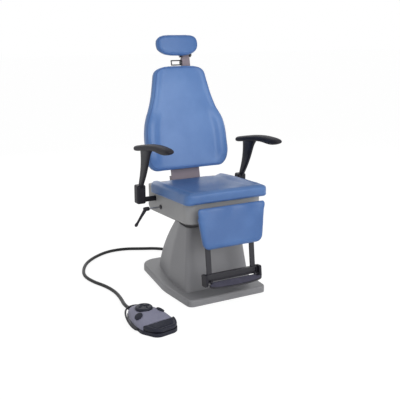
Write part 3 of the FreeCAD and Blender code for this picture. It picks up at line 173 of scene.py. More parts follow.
class Finish:
    """A material: its shader, and the nodes that feed it."""

    def __init__(self, name, roughness=0.5, metallic=0.0, coat=0.0, coat_roughness=0.2, ior=1.45):
        self.material = bpy.data.materials.new(name)
        self.material.use_nodes = True
        self.tree = self.material.node_tree
        self.shader = self.tree.nodes["Principled BSDF"]
        for socket, value in (("Roughness", roughness), ("Metallic", metallic), ("IOR", ior),
                              ("Coat Weight", coat), ("Coat Roughness", coat_roughness)):
            self.shader.inputs[socket].default_value = value
        self.place = self.node("ShaderNodeTexCoord", {}, {}, "Object")

    def node(self, kind, settings, sockets, out=0):
        item = self.tree.nodes.new(kind)
        for key, value in settings.items():
            setattr(item, key, value)
        for key, value in sockets.items():
            self.feed(item.inputs[key], value)
        return Value(self, item.outputs[out])

    def feed(self, socket, value):
        if isinstance(value, Value):
            self.tree.links.new(value.socket, socket)
        elif socket.type == "RGBA" and len(value) == 3:
            socket.default_value = (*value, 1)
        else:
            socket.default_value = value

    def noise(self, scale, detail=3.0, rough=0.5, place=None):
        return self.node("ShaderNodeTexNoise", {}, {
            "Vector": place or self.place, "Scale": scale, "Detail": detail, "Roughness": rough})

    def cells(self, scale):
        return self.node("ShaderNodeTexVoronoi", {}, {"Vector": self.place, "Scale": scale},
                         "Distance")

    def stretched(self, x, y, z):
        return self.node("ShaderNodeMapping", {}, {"Vector": self.place, "Scale": (x, y, z)})

    def blend(self, share, first, second):
        item = self.tree.nodes.new("ShaderNodeMix")
        item.data_type = "RGBA"
        self.feed(item.inputs["Factor"], share)
        self.feed(item.inputs[6], first)
        self.feed(item.inputs[7], second)
        return Value(self, item.outputs[2])

    def relief(self, height, distance, strength=1.0):
        bump = self.node("ShaderNodeBump", {}, {
            "Height": height, "Distance": distance, "Strength": strength})
        self.give("Normal", bump)

    def give(self, socket, value):
        self.feed(self.shader.inputs[socket], value)


def upholstery(name, colour, deep, light):
    """Smooth synthetic leather: fine pebble grain, faint creases, soft sheen."""
    cloth = Finish(name, roughness=0.40, coat=0.22, coat_roughness=0.28)
    broad = cloth.noise(5.0, 2.0)
    fine = cloth.noise(60.0, 3.0)
    tint = cloth.blend(broad.between(0.35, 0.65), tone(colour), tone(light))
    pores = cloth.cells(900.0)
    cloth.give("Base Color", cloth.blend(pores.between(0.35, 0.75) * 0.22 + fine * 0.10,
                                         tint, tone(deep)))
    cloth.give("Roughness", 0.38 + fine * 0.12)
    creases = cloth.noise(26.0, 5.0, 0.6, cloth.stretched(1.0, 1.0, 0.55))
    cloth.relief(pores * -0.6 + cloth.noise(1500.0, 2.0) * 0.3 + creases * 1.4, 0.0006, 0.5)
    return cloth.material


def moulded_cover(name, colour, dark):
    """Painted glass-fibre or moulded plastic: fine orange peel, faint pale scuffs in patches."""
    cover = Finish(name, roughness=0.5, coat=0.08, coat_roughness=0.4)
    broad = cover.noise(3.2, 3.0)
    speck = cover.noise(700.0, 2.0)
    scuff = cover.noise(38.0, 8.0, 0.72, cover.stretched(1.0, 1.0, 0.3))
    worn = scuff.between(0.62, 0.78) * 0.22
    paint = cover.blend(broad.between(0.3, 0.7) * 0.45 + speck * 0.12, tone(colour), tone(dark))
    cover.give("Base Color", cover.blend(worn, paint, tone("A4A4A6")))
    cover.give("Roughness", 0.44 + speck * 0.14 + worn * 0.3)
    cover.relief(speck * 0.5 + cover.noise(160.0, 2.0) * 1.2, 0.0004, 0.45)
    return cover.material


def black_plastic(name, colour="1B1A22", light="2C2A35", rough=0.45, grain=800.0):
    """Moulded plastic with a fine spark-eroded texture, rubbed a little paler in places."""
    body = Finish(name, roughness=rough, ior=1.32)
    rub = body.noise(30.0, 6.0, 0.65)
    pits = body.cells(grain)
    body.give("Base Color", body.blend(rub.between(0.45, 0.75) * 0.6, tone(colour), tone(light)))
    body.give("Roughness", rough - 0.06 + rub * 0.16)
    body.relief(pits * 0.8 + body.noise(220.0) * 0.6, 0.0004, 0.4)
    return body.material


def painted_steel(name, colour, chipped, rough=0.4):
    steel = Finish(name, roughness=rough)
    peel = steel.noise(420.0, 2.0)
    wear = steel.noise(22.0, 9.0, 0.75)
    steel.give("Base Color", steel.blend(wear.between(0.6, 0.8) * 0.35, tone(colour),
                                         tone(chipped)))
    steel.give("Roughness", rough - 0.05 + wear * 0.18)
    steel.relief(peel * 0.8 + wear * 0.5, 0.0003, 0.4)
    return steel.material


def bright_steel(name, tint="B9BABD", rough=0.26):
    steel = Finish(name, roughness=rough, metallic=1.0)
    lines = steel.noise(90.0, 4.0, 0.6, steel.stretched(1.0, 14.0, 14.0))
    steel.give("Base Color", steel.blend(lines * 0.5, tone(tint), tone("8C8D92")))
    steel.give("Roughness", rough - 0.05 + lines * 0.18)
    steel.relief(lines, 0.0002, 0.25)
    return steel.material


def plywood(name):
    wood = Finish(name, roughness=0.6)
    rings = wood.noise(14.0, 6.0, 0.6, wood.stretched(1.0, 9.0, 1.0))
    wood.give("Base Color", wood.blend(rings, tone("B08D60"), tone("8A6A42")))
    wood.relief(rings, 0.0003, 0.3)
    return wood.material


FINISH = {
    # One blue vinyl covers every pad; the head, seat and leg blues are darker copies of it, painted shade matched
    # to how dimly each pad is lit.
    "upholstery_blue": upholstery("upholstery_blue", "5680BC", "3A5F9E", "648CC6"),
    "head_upholstery": upholstery("head_upholstery", "426EAA", "2E5694", "4E78B4"),
    "seat_upholstery": upholstery("seat_upholstery", "4870A8", "325692", "547BB2"),
    "seam_blue": upholstery("seam_blue", "3E5D9C", "33508C", "4A6BAA"),
    "leg_upholstery": upholstery("leg_upholstery", "3D66A0", "2A4C86", "4972AC"),
    "cover_grey": moulded_cover("cover_grey", "8A8A8D", "7B7B7F"),
    "housing_grey": moulded_cover("housing_grey", "A0A0A0", "909092"),
    "shell_grey": moulded_cover("shell_grey", "8A8C92", "7B7D84"),
    "steel_grey": painted_steel("steel_grey", "8E8189", "9C9297"),
    "steel_black": painted_steel("steel_black", "1C1B24", "34333D", 0.38),
    "black_plastic": black_plastic("black_plastic"),
    "arm_foam": black_plastic("arm_foam", "1D1C24", "2B2A33", 0.55, 1300.0),
    "tread_rubber": black_plastic("tread_rubber", "4A4958", "5C5A6A", 0.6, 1000.0),
    "bright_steel": bright_steel("bright_steel"),
    "switch_grey": black_plastic("switch_grey", "8E8EA2", "7C7C92", 0.45, 1100.0),
    "switch_dark": black_plastic("switch_dark", "1F212E", "2C2E3D", 0.45, 1100.0),
    "cable_black": black_plastic("cable_black", "2A2A2C", "3C3C3F", 0.45, 1600.0),
    "board_wood": plywood("board_wood"),
    "circuit_green": black_plastic("circuit_green", "1F4A30", "2B5A3C", 0.4, 900.0),
}


def finish_frame():
    """Give every carried-over node its own finish."""
    for row in frame["record"]["subparts"]:
        item = nodes[row["node"]]
        item.data.materials.clear()
        item.data.materials.append(FINISH[row["material_slot"]])


# ------------------------------------------------------------------ making pieces

def piece(name, bm, finish, body, place=None):
    """Turn a bmesh into a smooth piece that rides on a body."""
    if place is not None:
        bm.transform(place)
    bmesh.ops.remove_doubles(bm, verts=bm.verts, dist=1e-6)
    bmesh.ops.recalc_face_normals(bm, faces=bm.faces)
    data = bpy.data.meshes.new(name)
    bm.to_mesh(data)
    bm.free()
    for face in data.polygons:
        face.use_smooth = True
    item = bpy.data.objects.new(name, data)
    bpy.context.scene.collection.objects.link(item)
    data.materials.append(FINISH[finish])
    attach(item, body)
    return item


def subdivided(item, levels=1):
    step = item.modifiers.new("Smooth", "SUBSURF")
    step.levels = levels
    step.render_levels = levels
    return item


def joined(bm, other):
    """Add another bmesh's faces to a bmesh."""
    spare = bpy.data.meshes.new("spare")
    other.to_mesh(spare)
    other.free()
    bm.from_mesh(spare)
    bpy.data.meshes.remove(spare)
    return bm


def through(*points):
    """A smooth curve through (place, value) points."""
    def value(at):
        if at <= points[0][0]:
            return points[0][1]
        if at >= points[-1][0]:
            return points[-1][1]
        index = next(i for i in range(1, len(points)) if at <= points[i][0]) - 1

        def slope(i):
            low, high = max(i - 1, 0), min(i + 1, len(points) - 1)
            return (points[high][1] - points[low][1]) / (points[high][0] - points[low][0])

        (x0, y0), (x1, y1) = points[index], points[index + 1]
        step = x1 - x0
        t = (at - x0) / step
        return ((2 * t ** 3 - 3 * t ** 2 + 1) * y0 + (t ** 3 - 2 * t ** 2 + t) * step * slope(index)
                + (3 * t ** 2 - 2 * t ** 3) * y1 + (t ** 3 - t ** 2) * step * slope(index + 1))

    return value


def ease(low, high, at):
    share = min(max((at - low) / (high - low), 0.0), 1.0)
    return share * share * (3 - 2 * share)


def plan(width, low, high, low_round, high_round):
    """A plan's half-width at each place along it, with its corners rounded."""
    def half(at):
        wide = width(at)
        for gap, radius in ((at - low, low_round), (high - at, high_round)):
            if gap < radius:
                reach = radius - max(gap, 0.0)
                wide -= radius - math.sqrt(max(radius ** 2 - reach ** 2, 0.0))
        return wide

    return half


def moulded(half, low, high, top, rest, edge, across=26, along=30, under=0.0):
    """A closed form whose plan is half(b) wide from low to high, with a rounded upper edge.

    Its face stands at top(a, b) and its underside at rest(a, b); under draws the underside in."""
    bm = bmesh.new()
    bmesh.ops.create_grid(bm, x_segments=across, y_segments=along, size=1)
    faces = bm.faces[:]
    upper = bm.verts[:]
    spread = {vert: (math.sin(vert.co.x * math.pi / 2), math.sin(vert.co.y * math.pi / 2))
              for vert in upper}
    made = bmesh.ops.extrude_face_region(bm, geom=faces, use_keep_orig=True)
    lower = [item for item in made["geom"] if isinstance(item, bmesh.types.BMVert)]
    for vert in lower:
        u, v = math.sin(vert.co.x * math.pi / 2), math.sin(vert.co.y * math.pi / 2)
        b = (low + high) / 2 + v * ((high - low) / 2 - under)
        a = u * max(half((low + high) / 2 + v * (high - low) / 2) - under, 0.0)
        vert.co = (a, b, rest(a, b))
    for vert in upper:
        u, v = spread[vert]
        b = (low + high) / 2 + v * (high - low) / 2
        wide = half(b)
        a = u * wide
        gap = min(wide - abs(a), b - low, high - b)
        reach = edge - min(max(gap, 0.0), edge)
        drop = edge - math.sqrt(max(edge ** 2 - reach ** 2, 0.0))
        vert.co = (a, b, max(top(a, b) - drop, rest(a, b) + 0.0005))
    return bm


def draw_in(bm, low, high, amount):
    """Lean a form's walls inwards from one height to another."""
    for vert in bm.verts:
        share = ease(low, high, vert.co.z)
        reach = max(abs(vert.co.x), 0.001)
        vert.co.x -= math.copysign(amount * share * min(reach / 0.25, 1.0), vert.co.x)


def face_forward(matrix):
    """For a pad whose length runs up and whose face looks forward."""
    turn = Matrix(((1, 0, 0, 0), (0, 0, -1, 0), (0, 1, 0, 0), (0, 0, 0, 1)))
    return matrix @ turn


def baked(item):
    """Turn what the modifiers show into the piece's own mesh."""
    depsgraph = bpy.context.evaluated_depsgraph_get()
    plain = bpy.data.meshes.new_from_object(item.evaluated_get(depsgraph))
    item.modifiers.clear()
    item.data = plain


def swell(item, cap):
    """Foam under a tight cover: a short simulation, with each point's travel capped."""
    cloth = item.modifiers.new("Swell", "CLOTH")
    cloth.settings.use_pressure = True
    cloth.settings.uniform_pressure_force = 4.0
    cloth.settings.quality = 3
    cloth.settings.effector_weights.gravity = 0
    cloth.point_cache.frame_start = 1
    cloth.point_cache.frame_end = 20
    for step in range(1, 21):
        bpy.context.scene.frame_set(step)
    depsgraph = bpy.context.evaluated_depsgraph_get()
    swollen = [vert.co.copy() for vert in item.evaluated_get(depsgraph).data.vertices]
    item.modifiers.clear()
    bpy.context.scene.frame_set(1)
    for vert, moved in zip(item.data.vertices, swollen):
        travel = moved - vert.co
        if travel.length > cap:
            travel *= cap / travel.length
        vert.co += travel


def fitted(item, place, size):
    """Bring a swollen pad to its finished size, in the axes of its plan."""
    inward = place.inverted()
    spots = [inward @ vert.co for vert in item.data.vertices]
    for axis, limits in enumerate(size):
        low = min(spot[axis] for spot in spots)
        high = max(spot[axis] for spot in spots)
        grow = (limits[1] - limits[0]) / (high - low)
        for spot in spots:
            spot[axis] = limits[0] + (spot[axis] - low) * grow
    for vert, spot in zip(item.data.vertices, spots):
        vert.co = place @ spot


def pad(name, finish, body, place, bm, size, cap, stands_for):
    """An upholstered pad: an even mesh of the moulded form, swollen and brought to size."""
    item = piece(name, bm, finish, body, place=place)
    even = item.modifiers.new("Even", "REMESH")
    even.mode = "VOXEL"
    even.voxel_size = 0.006
    baked(item)
    swell(item, cap)
    relax = item.modifiers.new("Relax", "SMOOTH")
    relax.iterations = 3
    baked(item)
    fitted(item, place, size)
    for face in item.data.polygons:
        face.use_smooth = True
    subdivided(item)
    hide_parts(stands_for)
    return item


def bead(name, item, points, radius, finish, body):
    """A sewn seam or bead that lies on a piece, through points near its surface."""
    tree = BVHTree.FromPolygons([vert.co for vert in item.data.vertices],
                                [tuple(face.vertices) for face in item.data.polygons])
    data = bpy.data.curves.new(name, "CURVE")
    data.dimensions = "3D"
    data.bevel_depth = radius
    data.bevel_resolution = 2
    line = data.splines.new("POLY")
    line.points.add(len(points) - 1)
    for point, spot in zip(line.points, points):
        near = tree.find_nearest(spot)
        point.co = (*(near[0] + near[1] * radius * 0.1), 1)
    line.use_cyclic_u = True
    curve = bpy.data.objects.new(name, data)
    bpy.context.scene.collection.objects.link(curve)
    mesh = bpy.data.meshes.new_from_object(curve)
    bpy.data.objects.remove(curve)
    seam = bpy.data.objects.new(name, mesh)
    bpy.context.scene.collection.objects.link(seam)
    mesh.materials.clear()
    mesh.materials.append(FINISH[finish])
    for face in mesh.polygons:
        face.use_smooth = True
    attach(seam, body)
    return seam


def round_the_plan(half, low, high, depth, place, inset=0.0, steps=40):
    """Points round a pad's plan, at one depth."""
    sides = []
    for step in range(steps + 1):
        share = math.sin((step / steps - 0.5) * math.pi) * 0.5 + 0.5
        b = low + inset + (high - low - 2 * inset) * share
        sides.append((half(low + (high - low) * share) - inset, b))
    ring = sides + [(-a, b) for a, b in reversed(sides)]
    return [place @ Vector((a, b, depth)) for a, b in ring]


# ------------------------------------------------------------------ upholstery

def make_seat():
    low, high, wide = -0.316, 0.172, 0.261
    half = plan(lambda b: wide, low, high, 0.040, 0.044)

    def top(a, b):
        rim = min(wide - 0.010 - abs(a), b - low - 0.006)
        dish = 0.017 * ease(0.016, 0.085, rim) + 0.003 * ease(0.085, 0.20, rim)
        rear = 0.009 * ease(0.04, 0.16, b) * ease(0.21, 0.10, abs(a))
        slope = 0.006 * ease(0.016, 0.0, rim)
        return 0.069 - dish + rear - slope

    def rest(a, b):
        return 0.001 + 0.006 * ease(0.012, 0.0, min(half(b) - abs(a), b - low, high - b))

    bm = moulded(half, low, high, top, rest, 0.011, 52, 52, 0.004)
    draw_in(bm, 0.030, 0.070, 0.010)
    size = ((-wide, wide), (low, high), (0.0006, 0.0705))
    cushion = pad("seat_pad", "seat_upholstery", "seat", SEAT, bm, size, 0.0025,
                  "seat_cushion")
    bead("seat_seam", cushion, round_the_plan(half, low, high, 0.012, SEAT), 0.0013,
         "seam_blue", "seat")


def back_half(b):
    """The back's half-width at a height: wide hips, drawn-in shoulders, a crowned top."""
    wide = through((0.095, 0.258), (0.123, 0.262), (0.167, 0.268), (0.24, 0.269), (0.30, 0.268),
                   (0.347, 0.262), (0.388, 0.252), (0.422, 0.240), (0.456, 0.224),
                   (0.527, 0.200), (0.587, 0.186), (0.645, 0.174), (0.706, 0.168))
    side = plan(wide, 0.095, 2.0, 0.056, 0.01)(b)
    share = min(max((b - 0.610) / (0.7055 - 0.610), 0.0), 1.0)
    return side * max(1 - share ** 5.0, 0.0) ** (1 / 3.0)


def make_back():
    low, high = 0.095, 0.7054

    def top(a, b):
        side = abs(a) / max(back_half(b), 0.01)
        edge = back_half(b) - abs(a)
        bolster = ease(0.092, 0.046, edge) * ease(0.46, 0.36, b) * ease(0.10, 0.20, b)
        rail = ease(0.050, 0.024, edge) * ease(0.34, 0.50, b) * 0.005
        crown = 0.010 * ease(0.72, 0.60, b) * ease(0.10, 0.34, b) * (1 - min(side, 1) ** 2)
        return 0.091 + 0.020 * bolster + rail + crown - 0.006 * ease(0.018, 0.0, edge)

    bm = moulded(back_half, low, high, top, lambda a, b: 0.050, 0.017, 56, 70, 0.004)
    place = face_forward(BACK)
    size = ((-0.2685, 0.2685), (low, high), (0.0495, 0.112))
    cushion = pad("back_pad", "upholstery_blue", "back", place, bm, size, 0.003,
                  "back_cushion")
    for depth, inset, name in ((0.058, 0.0, "back_seam"), (0.100, 0.007, "back_welt")):
        bead(name, cushion, round_the_plan(back_half, low, high, depth, place, inset), 0.0014,
             "seam_blue", "back")


def egg(wide, low, high, middle, roundness_low, roundness_high):
    """A plan's half-width when each end is a squared ellipse."""
    def half(b):
        if b < middle:
            share, power = (middle - b) / (middle - low), roundness_low
        else:
            share, power = (b - middle) / (high - middle), roundness_high
        return wide * max(1 - min(share, 1.0) ** power, 0.0) ** (1 / power)

    return half


def make_head():
    low, high = -0.007, 0.115
    half = egg(0.134, low, high, 0.062, 2.5, 3.0)

    def top(a, b):
        return 0.066 - 0.006 * (a / 0.13) ** 2

    bm = moulded(half, low, high, top, lambda a, b: 0.0235, 0.016, 36, 26, 0.004)
    place = face_forward(HEAD)
    size = ((-0.1345, 0.1345), (low, high), (0.0232, 0.0705))
    cushion = pad("headrest_pad", "head_upholstery", "head", place, bm, size, 0.003,
                  "head_pad")
    for depth, inset, name in ((0.031, 0.0, "head_seam"), (0.062, 0.007, "head_welt")):
        bead(name, cushion, round_the_plan(half, low, high, depth, place, inset, 26), 0.0012,
             "seam_blue", "head")


def make_leg():
    low, high = -0.196, 0.032
    half = plan(through((low, 0.181), (high, 0.211)), low, high, 0.036, 0.026)

    def top(a, b):
        fold = 0.003 * math.cos(a / 0.205 * math.pi * 3.0) * ease(-0.05, 0.008, b)
        return 0.026 + 0.004 * ease(0.0, 0.12, half(b) - abs(a)) - fold

    def rest(a, b):
        return 0.0125 if b > -0.0265 else -0.0115

    bm = moulded(half, low, high, top, rest, 0.014, 40, 36, 0.004)
    place = face_forward(LEG)
    size = ((-0.211, 0.211), (low, high), (-0.0118, 0.0325))
    cushion = pad("leg_upholstery_pad", "leg_upholstery", "leg", place, bm, size, 0.004,
                  "leg_pad")
    bead("leg_seam", cushion, round_the_plan(half, low, high, 0.010, place, 0.0, 28), 0.0012,
         "seam_blue", "leg")


# ------------------------------------------------------------------ armrests and levers

def ring(wide, tall, power=2.6, count=28):
    """A closed outline between a rectangle and an ellipse, as (across, up) pairs."""
    points = []
    for step in range(count):
        turn = 2 * math.pi * step / count
        across, up = math.cos(turn), math.sin(turn)
        points.append((math.copysign(abs(across) ** (2 / power), across) * wide,
                       math.copysign(abs(up) ** (2 / power), up) * tall))
    return points


def skinned(rings):
    """A closed skin over rings of points, capped at both ends."""
    bm = bmesh.new()
    rows = [[bm.verts.new(point) for point in ring_points] for ring_points in rings]
    for before, after in zip(rows, rows[1:]):
        for index in range(len(before)):
            other = (index + 1) % len(before)
            bm.faces.new((before[index], before[other], after[other], after[index]))
    bm.faces.new(rows[0])
    bm.faces.new(rows[-1])
    return bm


def arm_pad_rings(side):
    """Sections of the pad along its length: (place, underside, top, half-width)."""
    sections = [(0.0225, 0.2925, 0.3070, 0.014), (0.0215, 0.2885, 0.3120, 0.022),
                (0.014, 0.2865, 0.3185, 0.0260), (-0.008, 0.2890, 0.3225, 0.0275),
                (-0.043, 0.2960, 0.3300, 0.0280), (-0.095, 0.3030, 0.3395, 0.0282),
                (-0.150, 0.3120, 0.3500, 0.0282), (-0.212, 0.3215, 0.3585, 0.0280),
                (-0.262, 0.3225, 0.3630, 0.0278), (-0.300, 0.3190, 0.3645, 0.0278),
                (-0.340, 0.3180, 0.3645, 0.0276), (-0.375, 0.3235, 0.3635, 0.0270),
                (-0.400, 0.3310, 0.3600, 0.0250), (-0.413, 0.3370, 0.3550, 0.0205),
                (-0.4185, 0.3420, 0.3500, 0.0120)]
    rings = []
    for place, under, over, wide in sections:
        rings.append([ARM @ Vector((side * ARM_OUT + across, place, (under + over) / 2 + up))
                      for across, up in ring(wide, (over - under) / 2)])
    return rings


def arm_stem_rings(side):
    """Sections of the stem up its height: (height, rear, front, half-thickness)."""
    sections = [(0.062, 0.001, -0.026, 0.0100), (0.092, -0.002, -0.044, 0.0105),
                (0.135, -0.018, -0.074, 0.0110), (0.177, -0.031, -0.100, 0.0110),
                (0.220, -0.038, -0.122, 0.0110), (0.258, -0.041, -0.138, 0.0115),
                (0.284, -0.040, -0.149, 0.0125), (0.299, -0.040, -0.158, 0.0145),
                (0.311, -0.042, -0.168, 0.0170), (0.322, -0.060, -0.170, 0.0170)]
    rings = []
    for height, rear, front, thick in sections:
        rings.append([ARM @ Vector((side * ARM_OUT + across, (rear + front) / 2 + along, height))
                      for across, along in ring(thick, (rear - front) / 2, 3.4)])
    return rings


def make_arms():
    for side, name in ((1, "left"), (-1, "right")):
        body = f"arm_{name}"
        rest = piece(f"arm_rest_{name}", skinned(arm_pad_rings(side)), "arm_foam", body)
        subdivided(rest)
        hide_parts(f"arm_pad_{name}")
        stem = piece(f"arm_upright_{name}", skinned(arm_stem_rings(side)), "black_plastic", body)
        subdivided(stem)
        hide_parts(f"arm_stem_{name}")


def limb(points, radii, place, count=20):
    """A round bar along a path, its radius changing from point to point."""
    rings = []
    for index, (point, radius) in enumerate(zip(points, radii)):
        before = points[max(index - 1, 0)]
        after = points[min(index + 1, len(points) - 1)]
        heading = (Vector(after) - Vector(before)).normalized()
        turn = heading.to_track_quat("Z", "X").to_matrix()
        rings.append([place @ (Vector(point) + turn @ Vector((across, along, 0)))
                      for across, along in ring(radius, radius, 2, count)])
    return skinned(rings)


def make_lever():
    """The lock lever: a turned hub, and a bent bar that ends in a small knob."""
    hub = limb([(-0.3142, 0, 0), (-0.316, 0, 0), (-0.338, 0, 0), (-0.3485, 0, 0), (-0.350, 0, 0)],
               [0.0105, 0.012, 0.0122, 0.0115, 0.009], LOCK)
    bar = limb([(-0.336, 0.0, 0.002), (-0.3395, 0.006, -0.010), (-0.345, 0.020, -0.030),
                (-0.351, 0.040, -0.058), (-0.358, 0.062, -0.089), (-0.3605, 0.070, -0.100),
                (-0.362, 0.0745, -0.106), (-0.3645, 0.082, -0.117), (-0.3655, 0.085, -0.121)],
               [0.0095, 0.0105, 0.0092, 0.0080, 0.0070, 0.0072, 0.0098, 0.0098, 0.006], LOCK)
    lever = piece("lock_lever", joined(hub, bar), "black_plastic", "lock")
    subdivided(lever)
    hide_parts("lock_handle")


# ------------------------------------------------------------------ cable

def switch_point(x, y, z):
    return SWITCH @ Vector((x, y, z))


def make_cable():
    floor = CABLE_RADIUS + 0.0002
    route = [CABLE_EXIT, CABLE_EXIT + Vector((0, 0.056, 0)), Vector((0.082, 0.600, floor)),
             Vector((0.014, 0.676, floor)), Vector((-0.075, 0.716, floor)),
             Vector((-0.180, 0.771, floor)), Vector((-0.300, 0.774, floor)),
             Vector((-0.412, 0.714, floor)), Vector((-0.504, 0.628, floor)),
             Vector((-0.564, 0.524, floor)), Vector((-0.602, 0.404, floor)),
             Vector((-0.586, 0.286, floor)), Vector((-0.546, 0.186, floor)),
             Vector((-0.528, 0.076, floor)), Vector((-0.536, -0.032, floor)),
             switch_point(0, 0.236, SWITCH_SEAM), switch_point(0, 0.178, SWITCH_SEAM)]
    data = bpy.data.curves.new("foot_switch_cable", "CURVE")
    data.dimensions = "3D"
    data.bevel_depth = CABLE_RADIUS
    data.bevel_resolution = 5
    data.resolution_u = 16
    line = data.splines.new("NURBS")
    line.points.add(len(route) - 1)
    for point, spot in zip(line.points, route):
        point.co = (*spot, 1)
    line.order_u = 3
    line.use_endpoint_u = True
    cable = bpy.data.objects.new("foot_switch_cable", data)
    bpy.context.scene.collection.objects.link(cable)
    data.materials.append(FINISH["cable_black"])
    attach(cable, "base")
    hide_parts("foot_cable")


# ------------------------------------------------------------------ footrest and foot switch

def tread_slope(b):
    """The footrest falls a little towards its front edge."""
    return 0.26 * (b + 0.009)


def bowed(wide, narrow, front):
    """A footrest's half-width: narrow between the end caps, then wide with a bowed front."""
    def half(b):
        if b > -0.020:
            return narrow
        return wide * math.sqrt(max(1 - (max(-0.028 - b, 0.0) / (-0.028 - front)) ** 2, 0.0))

    return half


def make_footrest():
    """The sloping plate with its two pin lugs, and the rubber tread ribbed along its length."""
    half = bowed(0.167, 0.148, -0.0590)
    bm = moulded(half, -0.0588, 0.003, lambda a, b: tread_slope(b) - 0.0042,
                 lambda a, b: tread_slope(b) - 0.0135, 0.003, 40, 40, 0.002)
    for side in (-1, 1):
        lug = limb([(side * 0.1345, 0, 0), (side * 0.135, 0, 0), (side * 0.1455, 0, 0),
                    (side * 0.146, 0, 0)], [0.0070, 0.0075, 0.0075, 0.0070], Matrix(), 24)
        joined(bm, lug)
    plate = piece("footrest_plate", bm, "steel_black", "footplate", place=FOOT)
    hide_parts("footplate")

    half = bowed(0.161, 0.141, -0.0530)

    def top(a, b):
        rim = min(half(b) - abs(a), b + 0.0528, -0.003 - b)
        rib = 0.5 + 0.5 * math.cos(b / 0.0050 * 2 * math.pi)
        return tread_slope(b) - 0.0020 + 0.0012 * rib * ease(0.003, 0.006, rim)

    bm = moulded(half, -0.0528, -0.003, top, lambda a, b: tread_slope(b) - 0.0045, 0.001,
                 40, 110)
    tread = piece("footrest_tread", bm, "tread_rubber", "footplate", place=FOOT)
    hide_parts("foot_tread")


switch_half = through(
    (-0.168, 0.034), (-0.162, 0.050), (-0.148, 0.068), (-0.130, 0.081), (-0.105, 0.092),
    (-0.075, 0.0975), (-0.040, 0.0972), (0.0, 0.0930), (0.040, 0.0845), (0.075, 0.0730),
    (0.105, 0.0600), (0.130, 0.0480), (0.145, 0.0380), (0.152, 0.0280))


def switch_roof(a, b):
    """The height of the foot switch's upper shell: a mound that falls away to the pedal."""
    crest = 0.076 + 0.31 * min(b, 0.0) - 0.002 * ease(0.0, 0.03, b)
    share = min(abs(a) / switch_half(b), 1.0)
    side = max(1 - share ** 3.0, 0.0) ** 0.44
    rear = max(1 - (max(b - 0.050, 0.0) / 0.104) ** 3, 0.0) ** 0.45
    well = 0.0035 * ease(0.0495, 0.0470, math.hypot(a, b - ROCKER_REAR))
    for x in (-KEY_OUT, KEY_OUT):
        spot = math.hypot((a - x) / 0.0205, (b - KEY_REAR) / 0.0245)
        well += 0.0022 * ease(1.10, 1.0, spot)
    return max(0.0222 + (crest - 0.0222) * side * rear - well, 0.0225)


def make_switch_shell():
    bm = moulded(switch_half, PEDAL_REAR, 0.152, switch_roof, lambda a, b: 0.0221, 0.0015, 130, 150)
    shell = piece("foot_switch_shell", bm, "switch_grey", "base", place=SWITCH)
    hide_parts("switch_shell")


def make_rocker():
    """The round rocker: a low dome with a dished four-lobed hollow and a rolled rim."""
    bm = bmesh.new()
    bmesh.ops.create_cone(bm, cap_ends=True, cap_tris=True, segments=128,
                          radius1=ROCKER_RADIUS, radius2=ROCKER_RADIUS, depth=0.014)
    upper = [face for face in bm.faces if face.calc_center_median().z > 0.006]
    bmesh.ops.delete(bm, geom=upper, context="FACES_ONLY")
    rim = [edge for edge in bm.edges if edge.is_boundary]
    step = 0.0015
    radius = ROCKER_RADIUS
    while radius > 0.0017:
        made = bmesh.ops.extrude_edge_only(bm, edges=rim)
        points = [item for item in made["geom"] if isinstance(item, bmesh.types.BMVert)]
        rim = [item for item in made["geom"] if isinstance(item, bmesh.types.BMEdge)]
        share = (radius - step) / radius
        radius -= step
        for vert in points:
            vert.co.x *= share
            vert.co.y *= share
    bmesh.ops.contextual_create(bm, geom=rim)
    bmesh.ops.translate(bm, verts=bm.verts, vec=(0, 0, 0.077))
    for vert in bm.verts:
        if vert.co.z < 0.080:
            continue
        reach = math.hypot(vert.co.x, vert.co.y)
        turn = math.atan2(vert.co.y, vert.co.x)
        lobe = 0.012 + 0.019 * abs(math.cos(2 * turn)) ** 1.5
        hollow = 0.0055 * ease(lobe + 0.003, lobe - 0.003, reach)
        vert.co.z = 0.084 + 0.0015 * math.cos(reach / ROCKER_RADIUS * math.pi / 2) - hollow
        vert.co.z -= 0.0045 * ease(0.040, 0.0452, reach)
    bmesh.ops.translate(bm, verts=bm.verts, vec=(0, ROCKER_REAR, 0))
    rocker = piece("foot_switch_rocker", bm, "switch_dark", "rocker", place=SWITCH)
    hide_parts("rocker")


def make_keys():
    """The two oval keys, each lying in its hollow on the shell's flank."""
    for side, name in ((1, "left"), (-1, "right")):
        x, y = side * KEY_OUT, KEY_REAR
        step = 0.004
        slope = Vector((switch_roof(x - step, y) - switch_roof(x + step, y),
                        switch_roof(x, y - step) - switch_roof(x, y + step),
                        2 * step)).normalized()
        turn = slope.to_track_quat("Z", "Y").to_matrix().to_4x4()
        bm = bmesh.new()
        bmesh.ops.create_uvsphere(bm, u_segments=40, v_segments=20, radius=1)
        for vert in bm.verts:
            flat = math.copysign(abs(vert.co.z) ** 0.7, vert.co.z)
            wide = max(1 - abs(flat) ** 3.5, 0.0) ** (1 / 3.5)
            reach = math.hypot(vert.co.x, vert.co.y)
            spread = wide / reach if reach > 1e-6 and abs(vert.co.z) > 0.02 else 1
            vert.co = (vert.co.x * spread * 0.0195, vert.co.y * spread * 0.0235, flat * 0.0055)
        at = Vector((x, y, switch_roof(x, y))) + slope * 0.0012
        key = piece(f"foot_switch_key_{name}", bm, "switch_dark", f"button_{name}",
                    place=SWITCH @ Matrix.Translation(at) @ turn)
        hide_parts(f"side_button_{name}")


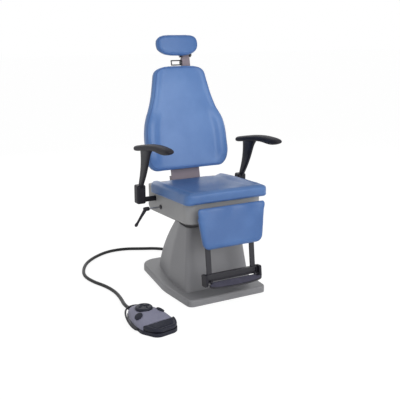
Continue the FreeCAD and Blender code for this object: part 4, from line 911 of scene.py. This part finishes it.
def make_pedal():
    """The broad toe pedal: a sloping face with a thick rolled lip round its front."""
    low, high = -0.168, PEDAL_REAR - 0.0015

    def top(a, b):
        rim = min(switch_half(b) - abs(a), b - low)
        face = 0.0485 - 0.12 * (PEDAL_REAR - b)
        lip = 0.0028 * ease(0.024, 0.012, rim)
        groove = 0.0022 * ease(0.030, 0.025, rim) * ease(0.018, 0.024, rim)
        return face + lip - groove

    bm = moulded(lambda b: switch_half(b) - 0.001, low, high, top,
                 lambda a, b: 0.0262, 0.009, 100, 70)
    pedal = piece("foot_switch_pedal", bm, "switch_dark", "pedal", place=SWITCH)
    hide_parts("pedal")


def make_bail():
    """The carrying bail: one smooth wire loop, pivoted at the shell's sides."""
    side = [(0.097, -0.040, 0.012), (0.106, -0.038, 0.012), (0.1085, -0.025, 0.013),
            (0.1075, 0.000, 0.015), (0.103, 0.030, 0.019), (0.094, 0.065, 0.025),
            (0.081, 0.100, 0.032), (0.064, 0.132, 0.038), (0.044, 0.155, 0.042),
            (0.022, 0.167, 0.0438)]
    points = side + [(0.0, 0.1705, 0.044)] + [(-x, y, z) for x, y, z in reversed(side)]
    bail = piece("carrying_bail", limb(points, [0.005] * len(points), SWITCH, 16),
                 "steel_black", "bail")
    subdivided(bail, 2)
    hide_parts("bail")


def make_floor():
    bm = bmesh.new()
    bmesh.ops.create_grid(bm, x_segments=1, y_segments=1, size=30)
    data = bpy.data.meshes.new("studio_floor")
    bm.to_mesh(data)
    bm.free()
    floor = bpy.data.objects.new("studio_floor", data)
    floor.location.z = -0.0006
    bpy.context.scene.collection.objects.link(floor)
    pale = Finish("pale_floor", roughness=0.9)
    pale.give("Base Color", (0.92, 0.92, 0.92))
    rays = pale.tree.nodes.new("ShaderNodeLightPath")
    seen = Value(pale, rays.outputs["Is Camera Ray"]).sum(
        "MAXIMUM", Value(pale, rays.outputs["Is Glossy Ray"])).sum(
        "MAXIMUM", Value(pale, rays.outputs["Is Transmission Ray"]))
    glow = pale.node("ShaderNodeEmission", {}, {"Color": (1.0, 1.0, 1.0), "Strength": 1.17})
    mixed = pale.node("ShaderNodeMixShader", {}, {0: seen * 0.76, 1: Value(
        pale, pale.shader.outputs[0]), 2: glow})
    pale.tree.links.new(mixed.socket, pale.tree.nodes["Material Output"].inputs[0])
    data.materials.append(pale.material)


# ------------------------------------------------------------------ make the chair

scene = bpy.context.scene
scene.view_settings.view_transform = "Standard"
make_camera()
make_studio()
make_floor()
finish_frame()
make_cable()
make_seat()
make_back()
make_head()
make_leg()
make_arms()
make_lever()
make_footrest()
make_switch_shell()
make_rocker()
make_keys()
make_pedal()
make_bail()
